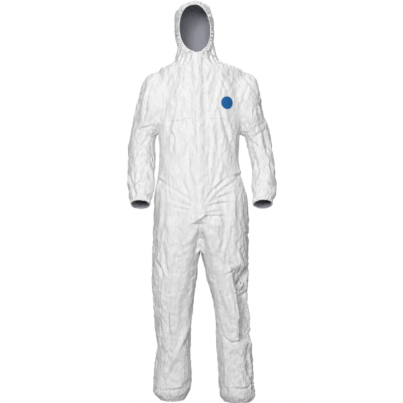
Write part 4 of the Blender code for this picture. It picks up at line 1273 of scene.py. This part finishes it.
def build_hood(fabric, garment, looks):
    top = row_at(fabric, garment, "hood_left", 1.598)
    left, right = fabric.grids["hood_left"], fabric.grids["hood_right"]
    ring_a = np.concatenate((left[0], right[0]))
    ring_b = np.concatenate((left[top], right[top]))
    rows = (0, top + 1)
    parts = cut(fabric, fabric.patch("hood_left", rows) + fabric.patch("hood_right", rows))
    ring = np.concatenate((left[0, :-1], right[0, :-1]))
    parts.add_bead(*fabric.path(ring), 0.0030, 0.0003, True)
    neck = parts.make("neck_cloth", looks)
    bend_between(fabric, neck, "torso", "hood", ring_a, ring_b, NECK_UP)
    declare(["neck_fabric"])
    faces = fabric.patch("hood_left", (top, None)) + fabric.patch("hood_right", (top, None))
    middle = [fabric.points[face].mean(axis=0) for face in faces]
    half = 0.042
    for name, node, test in (
        ("hood_left_cloth", "hood_left_panel", lambda x: x - FACE[0] >= half),
        ("hood_centre_cloth", "hood_centre_panel", lambda x: abs(x - FACE[0]) < half),
        ("hood_right_cloth", "hood_right_panel", lambda x: x - FACE[0] <= -half),
    ):
        parts = cut(fabric, [face for face, m in zip(faces, middle) if test(m[0])])
        if node == "hood_centre_panel":
            for offset in (-half, half):
                path, normals = [], []
                for turn in np.radians(np.linspace(-58, 100, 70)):
                    out = Vector((0, math.sin(turn), math.cos(turn)))
                    middle_point = Vector((FACE[0] + offset, 0.01, 1.625))
                    hit, normal, _, _ = fabric.tree.ray_cast(middle_point, out)
                    if not hit or hit.z <= 1.60:
                        continue
                    if np.linalg.norm(fabric.face_rim - hit, axis=1).min() > 0.022:
                        path.append(hit)
                        normals.append(normal if normal.dot(out) > 0 else -normal)
                parts.add_bead(path, normals)
        piece = parts.make(name, looks)
        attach(piece, "hood")
        declare([node])
    # gathered face edge
    rim = fabric.face_rim
    centre = rim.mean(axis=0)
    away_from_face = centre - (0, 0.06, 0)
    inside = centre + (0, 0.08, 0)
    rows = gathered_edge(
        fabric, rim, lambda p: p - away_from_face, inside, FACE_BAND, 0.0065, 42, 0.0135, 4, 12
    )
    parts = Parts()
    # the first two rows, the rolled hem inside the face opening, are grey painted shade
    parts.add_grid(rows, True, inwards=inside, painted_shade_rows=2)
    band = parts.make("face_elastic_band", looks)
    bend_between(fabric, band, "torso", "hood", ring_a, ring_b, NECK_UP)
    declare(["face_elastic"])


def build_edges(fabric, looks):
    for side, word in ((1, "left"), (-1, "right")):
        for name, node, body, width, hem, folds, depth in (
            (f"sleeve{side}", "cuff_elastic", "lower_arm", 0.028, 0.0045, 20, 0.0062),
            (f"leg{side}", "ankle_elastic", "lower_leg", 0.022, 0.0045, 30, 0.0036),
        ):
            grid = fabric.grids[name]
            rim = fabric.points[grid[-1, :-1]]
            up = fabric.points[grid[-12, :-1]].mean(axis=0) - rim.mean(axis=0)
            centre = rim.mean(axis=0)

            def away(p):
                return 0.6 * (p - centre) / 0.05 + up / np.linalg.norm(up)

            inside = centre + 0.5 * up
            rows = gathered_edge(fabric, rim, away, inside, width, hem, folds, depth, 11 + side)
            parts = Parts()
            # the first two rows, the rolled hem inside the cuff or ankle opening, are grey painted shade
            parts.add_grid(rows, True, inwards=centre + up, painted_shade_rows=2)
            band = parts.make(f"{word}_{node}_band", looks)
            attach(band, f"{word}_{body}")
            declare([f"{word}_{node}"])


def closure_frame():
    along = ZIP_TOP - ZIP_LOW
    length = along.length
    along = along.normalized()
    across = along.cross(Vector((0, -1, 0))).normalized()
    out = across.cross(along).normalized()
    if out.y > 0:
        out = -out
    return np.array(along), np.array(across), np.array(out), length


def fabric_height(fabric, u, v):
    """Height of the fabric over the plane of the zip, or None in the slot."""
    along, across, out, _ = closure_frame()
    base = np.array(ZIP_LOW) + along * v + across * u
    hit = fabric.outside(base, out)
    if hit is None:
        return None
    height = float((np.array(hit) - base) @ out)
    return height if abs(height) < 0.04 else None


def build_closure(fabric, looks):
    along, across, out, length = closure_frame()
    us = np.linspace(-0.030, 0.026, 29)
    vs = np.append(np.arange(-0.018, length, 0.0035), length + 0.0015)
    heights = np.full((len(us), len(vs)), np.nan)
    for i, u in enumerate(us):
        for j, v in enumerate(vs):
            if abs(u) > SLOT + 0.001 or v < -0.002:
                height = fabric_height(fabric, u, v)
                heights[i, j] = np.nan if height is None else height
    for j in range(len(vs)):
        known = ~np.isnan(heights[:, j])
        heights[:, j] = np.interp(us, us[known], heights[known, j])
    wide = np.pad(heights, ((0, 0), (4, 4)), mode="edge")
    smooth = sum(wide[:, k : k + len(vs)] for k in range(9)) / 9
    lift = np.maximum(heights, smooth)
    share = np.cos(np.clip((us + 0.001) / 0.029, -1, 1) * np.pi / 2)[:, None] ** 1.5
    end = (smoothstep((vs + 0.018) / 0.009) * (1 - 0.9 * smoothstep((vs - length + 0.010) / 0.010)))[None]
    rise = 0.0014 + 0.0088 * share * (0.35 + 0.65 * end)
    u_grid, v_grid = np.meshgrid(us, vs, indexing="ij")
    at = np.stack((u_grid, v_grid * 0, v_grid), axis=-1).reshape(-1, 3)
    ripple = ridges(at, 30, 12, 40.0).reshape(u_grid.shape) * 0.0012
    groove = 0.0006 * near(u_grid, -0.0235, 0.0013) + 0.0006 * near(u_grid, 0.0225, 0.0013)
    knot = 0.0065 * np.exp(-(((v_grid - 0.004 - 0.62 * u_grid) / 0.0055) ** 2))
    total = lift * share + heights * (1 - share) + rise + np.abs(ripple) - groove + knot
    grid = np.array(ZIP_LOW) + v_grid[..., None] * along + u_grid[..., None] * across
    grid = grid + total[..., None] * out
    parts = Parts()
    parts.add_grid(grid, False, 0.0008, inwards=np.array((0, 0.0, 1.15)))
    flap = parts.make("storm_flap_cloth", looks)
    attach(flap, "flap")
    declare(["storm_flap"])
    for sign, word in ((1, "left"), (-1, "right")):
        edges = sign * np.array((0.0022, 0.0038, 0.0055, 0.0068, 0.0085, 0.0110, 0.0135, 0.0160))
        rows = []
        for u in edges:
            row = []
            for v in np.arange(0.0008, length - 0.0006, 0.004):
                height = -0.0012
                if abs(u) > 0.008:
                    found = fabric_height(fabric, u, v)
                    height = min(-0.0012, (found if found is not None else 0.0) - 0.0020)
                row.append(np.array(ZIP_LOW) + along * v + across * u + out * height)
            rows.append(row)
        parts = Parts()
        parts.add_grid(np.array(rows), False, 0.0005, inwards=np.array((0, 0.0, 1.15)))
        tape = parts.make(f"{word}_zip_tape_cloth", (looks[0], looks[0]))
        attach(tape, "torso")
        declare([f"zip_tape_{word}"])


def build_badge(fabric, blue, white):
    """A stiff printed patch and its border, pressed on to the chest."""
    aim = Vector(BADGE_FACING)
    right = Vector((0, 0, 1)).cross(aim).normalized()
    up = aim.cross(right).normalized()
    middle = fabric.outside((BADGE[0], -0.10, BADGE[1]), aim)
    rings, spokes = np.linspace(0, 1, 13), np.linspace(0, 2 * np.pi, 73)[:-1]

    def flat(radius, turn):
        return radius * math.cos(turn), radius * math.sin(turn)

    spots, found = [], []
    for radius in rings * 0.0305:
        for turn in spokes:
            a, b = flat(radius, turn)
            base = middle + right * a + up * b
            hit = fabric.outside(base, aim)
            spots.append((1, a, b, a * a, a * b, b * b))
            found.append((hit - base).dot(aim))
    spots, found = np.array(spots), np.array(found)
    fit = np.linalg.lstsq(spots, found, rcond=None)[0]
    lift = max(0.0, (found - spots @ fit).max())
    lift = min(lift, 0.0035)
    for name, node, radius, height, look in (
        ("badge_border_film", "badge_border", 0.0302, 0.0004, white),
        ("chest_badge_film", "chest_badge", 0.0275, 0.0009, blue),
    ):
        rows = []
        for share in rings[1:]:
            row = []
            for turn in spokes:
                a, b = flat(share * radius, turn)
                h = np.array((1, a, b, a * a, a * b, b * b)) @ fit + lift + height
                row.append(middle + right * a + up * b + aim * h)
            rows.append(row)
        grid = np.array(rows)
        centre = np.array(middle + aim * (fit[0] + lift + height))
        count = len(spokes)
        numbers = np.arange(grid.shape[0] * count).reshape(-1, count)
        numbers = np.column_stack((numbers, numbers[:, 0]))
        flat_points = np.vstack((grid.reshape(-1, 3), centre))
        hub = len(flat_points) - 1
        faces = quads(numbers) + [[hub, numbers[0, k + 1], numbers[0, k]] for k in range(count)]
        normals = vertex_normals(flat_points, faces)
        if (normals @ np.array(aim)).sum() < 0:
            faces = [face[::-1] for face in faces]
            normals = -normals
        parts = Parts()
        parts.add_sheet(flat_points, normals, faces, 0.0004)
        piece = parts.make(name, (look, white))
        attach(piece, "torso")
        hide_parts(node)


def build_label(fabric, look):
    """A blank size label inside the back of the neck."""
    rows = []
    for x in np.linspace(-0.0345, 0.0105, 12):
        row = []
        for z in np.linspace(1.4146, 1.4494, 10):
            hit = fabric.tree.ray_cast(Vector((x, 0, z)), Vector((0, 1, 0)))[0]
            row.append((x, (hit.y if hit else 0.08) - 0.0022, z))
        rows.append(row)
    grid = np.array(rows)
    grid[..., 1] = np.minimum(grid[..., 1], grid[..., 1].mean() + 0.002)
    parts = Parts()
    parts.add_grid(grid, False, 0.0004, inwards=np.array((-0.012, 0.5, 1.43)))
    label = parts.make("size_label_cloth", (look, look))
    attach(label, "torso")
    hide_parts("size_label")


noise.seed_set(NOISE_SEED)
garment = build_garment()
fabric = Fabric(garment)
white = fabric_material("nonwoven_white", (0.865, 0.865, 0.858))
# grey for the fabric's inner side: painted shade for the shade inside hood, sleeves and legs; the fabric
# itself is white on both sides
inner = fabric_material("nonwoven_inner_painted_shade", (0.365, 0.372, 0.420), 0.3, 0.75)
plain = fabric_material("label_white", (0.86, 0.87, 0.87), 0.1)
blue = hard_material("print_blue", (0.0, 0.122, 0.38), 0.5)
border = hard_material("print_white", (0.90, 0.90, 0.90), 0.45)
nylon = hard_material("coil_nylon", (0.80, 0.80, 0.80), 0.35)
metal = hard_material("painted_metal", (0.72, 0.72, 0.73), 0.30, 0.6)
# the second look of each garment piece is the grey painted shade for its inner side and for the first rows
# inside its openings
build_trunk(fabric, garment, (white, inner))
build_limbs(fabric, garment, (white, inner))
build_hood(fabric, garment, (white, inner))
build_edges(fabric, (white, inner))
build_closure(fabric, (white, white))
build_badge(fabric, blue, border)
build_label(fabric, plain)
for name, look in (
    ("zip_teeth_left", nylon),
    ("zip_teeth_right", nylon),
    ("zip_top_stop_left", nylon),
    ("zip_top_stop_right", nylon),
    ("zip_bottom_stop", nylon),
    ("zip_slider", metal),
    ("pull_tab", metal),
):
    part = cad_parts[name]
    part.data.materials.clear()
    part.data.materials.append(look)


# ---- stage, light and camera ----
def emission(name, strength):
    made = bpy.data.materials.new(name)
    made.use_nodes = True
    nodes = made.node_tree.nodes
    nodes.clear()
    light, out = nodes.new("ShaderNodeEmission"), nodes.new("ShaderNodeOutputMaterial")
    light.inputs["Strength"].default_value = strength
    made.node_tree.links.new(light.outputs[0], out.inputs[0])
    return made


def make_stage():
    """A white room: grey light all round for shading, and a white backdrop and floor that don't shade."""
    world = bpy.data.worlds.new("room")
    bpy.context.scene.world = world
    world.use_nodes = True
    nodes, links = world.node_tree.nodes, world.node_tree.links
    ambient = nodes["Background"]
    ambient.inputs["Color"].default_value = (0.98, 0.985, 1.0, 1.0)
    ambient.inputs["Strength"].default_value = 0.225
    seen = nodes.new("ShaderNodeBackground")
    seen.inputs["Color"].default_value = (1.0, 1.0, 1.0, 1.0)
    path, mix = nodes.new("ShaderNodeLightPath"), nodes.new("ShaderNodeMixShader")
    links.new(path.outputs["Is Camera Ray"], mix.inputs[0])
    links.new(ambient.outputs[0], mix.inputs[1])
    links.new(seen.outputs[0], mix.inputs[2])
    links.new(mix.outputs[0], nodes["World Output"].inputs["Surface"])
    floor_mesh = bpy.data.meshes.new("floor")
    reach, z = 12.0, HEM_Z - 0.03
    corners = [(-reach, -reach, z), (reach, -reach, z), (reach, reach, z), (-reach, reach, z)]
    floor_mesh.from_pydata(corners, [], [(0, 1, 2, 3)])
    floor_mesh.materials.append(emission("floor_white", 1.0))
    floor = placed("floor", floor_mesh)
    floor.visible_diffuse = floor.visible_glossy = floor.visible_shadow = False
    for name, place, aim, size, power in (
        ("key", (-0.85, -3.7, 0.85), (0, 0, -0.45), 1.0, 80),
        ("front", (0.0, -4.6, 0.35), (0, 0, -0.45), 0.9, 46),
        ("fill", (1.5, -3.4, -0.6), (0, 0, -0.7), 1.6, 8),
        ("top", (0.2, 0.6, 2.6), (0, 0, -0.4), 2.0, 30),
        ("back", (1.0, 3.2, 1.2), (0, 0, -0.5), 2.4, 40),
    ):
        data = bpy.data.lights.new(name, "AREA")
        data.size, data.energy = size, power
        lamp = placed(name, data)
        lamp.location = place
        lamp.rotation_euler = (Vector(aim) - Vector(place)).to_track_quat("-Z", "Y").to_euler()
    bpy.context.scene.view_settings.view_transform = "Standard"


def make_camera():
    data = bpy.data.cameras.new("camera")
    eye = placed("camera", data)
    eye.location = (0.004, -4.3, 0.95 + HEM_Z)
    target = Vector((0.004, 0, 0.873 + HEM_Z))
    eye.rotation_euler = (target - eye.location).to_track_quat("-Z", "Y").to_euler()
    data.sensor_width = 36
    data.lens = 36 * (target - eye.location).length / 1.773
    bpy.context.scene.camera = eye


make_stage()
make_camera()
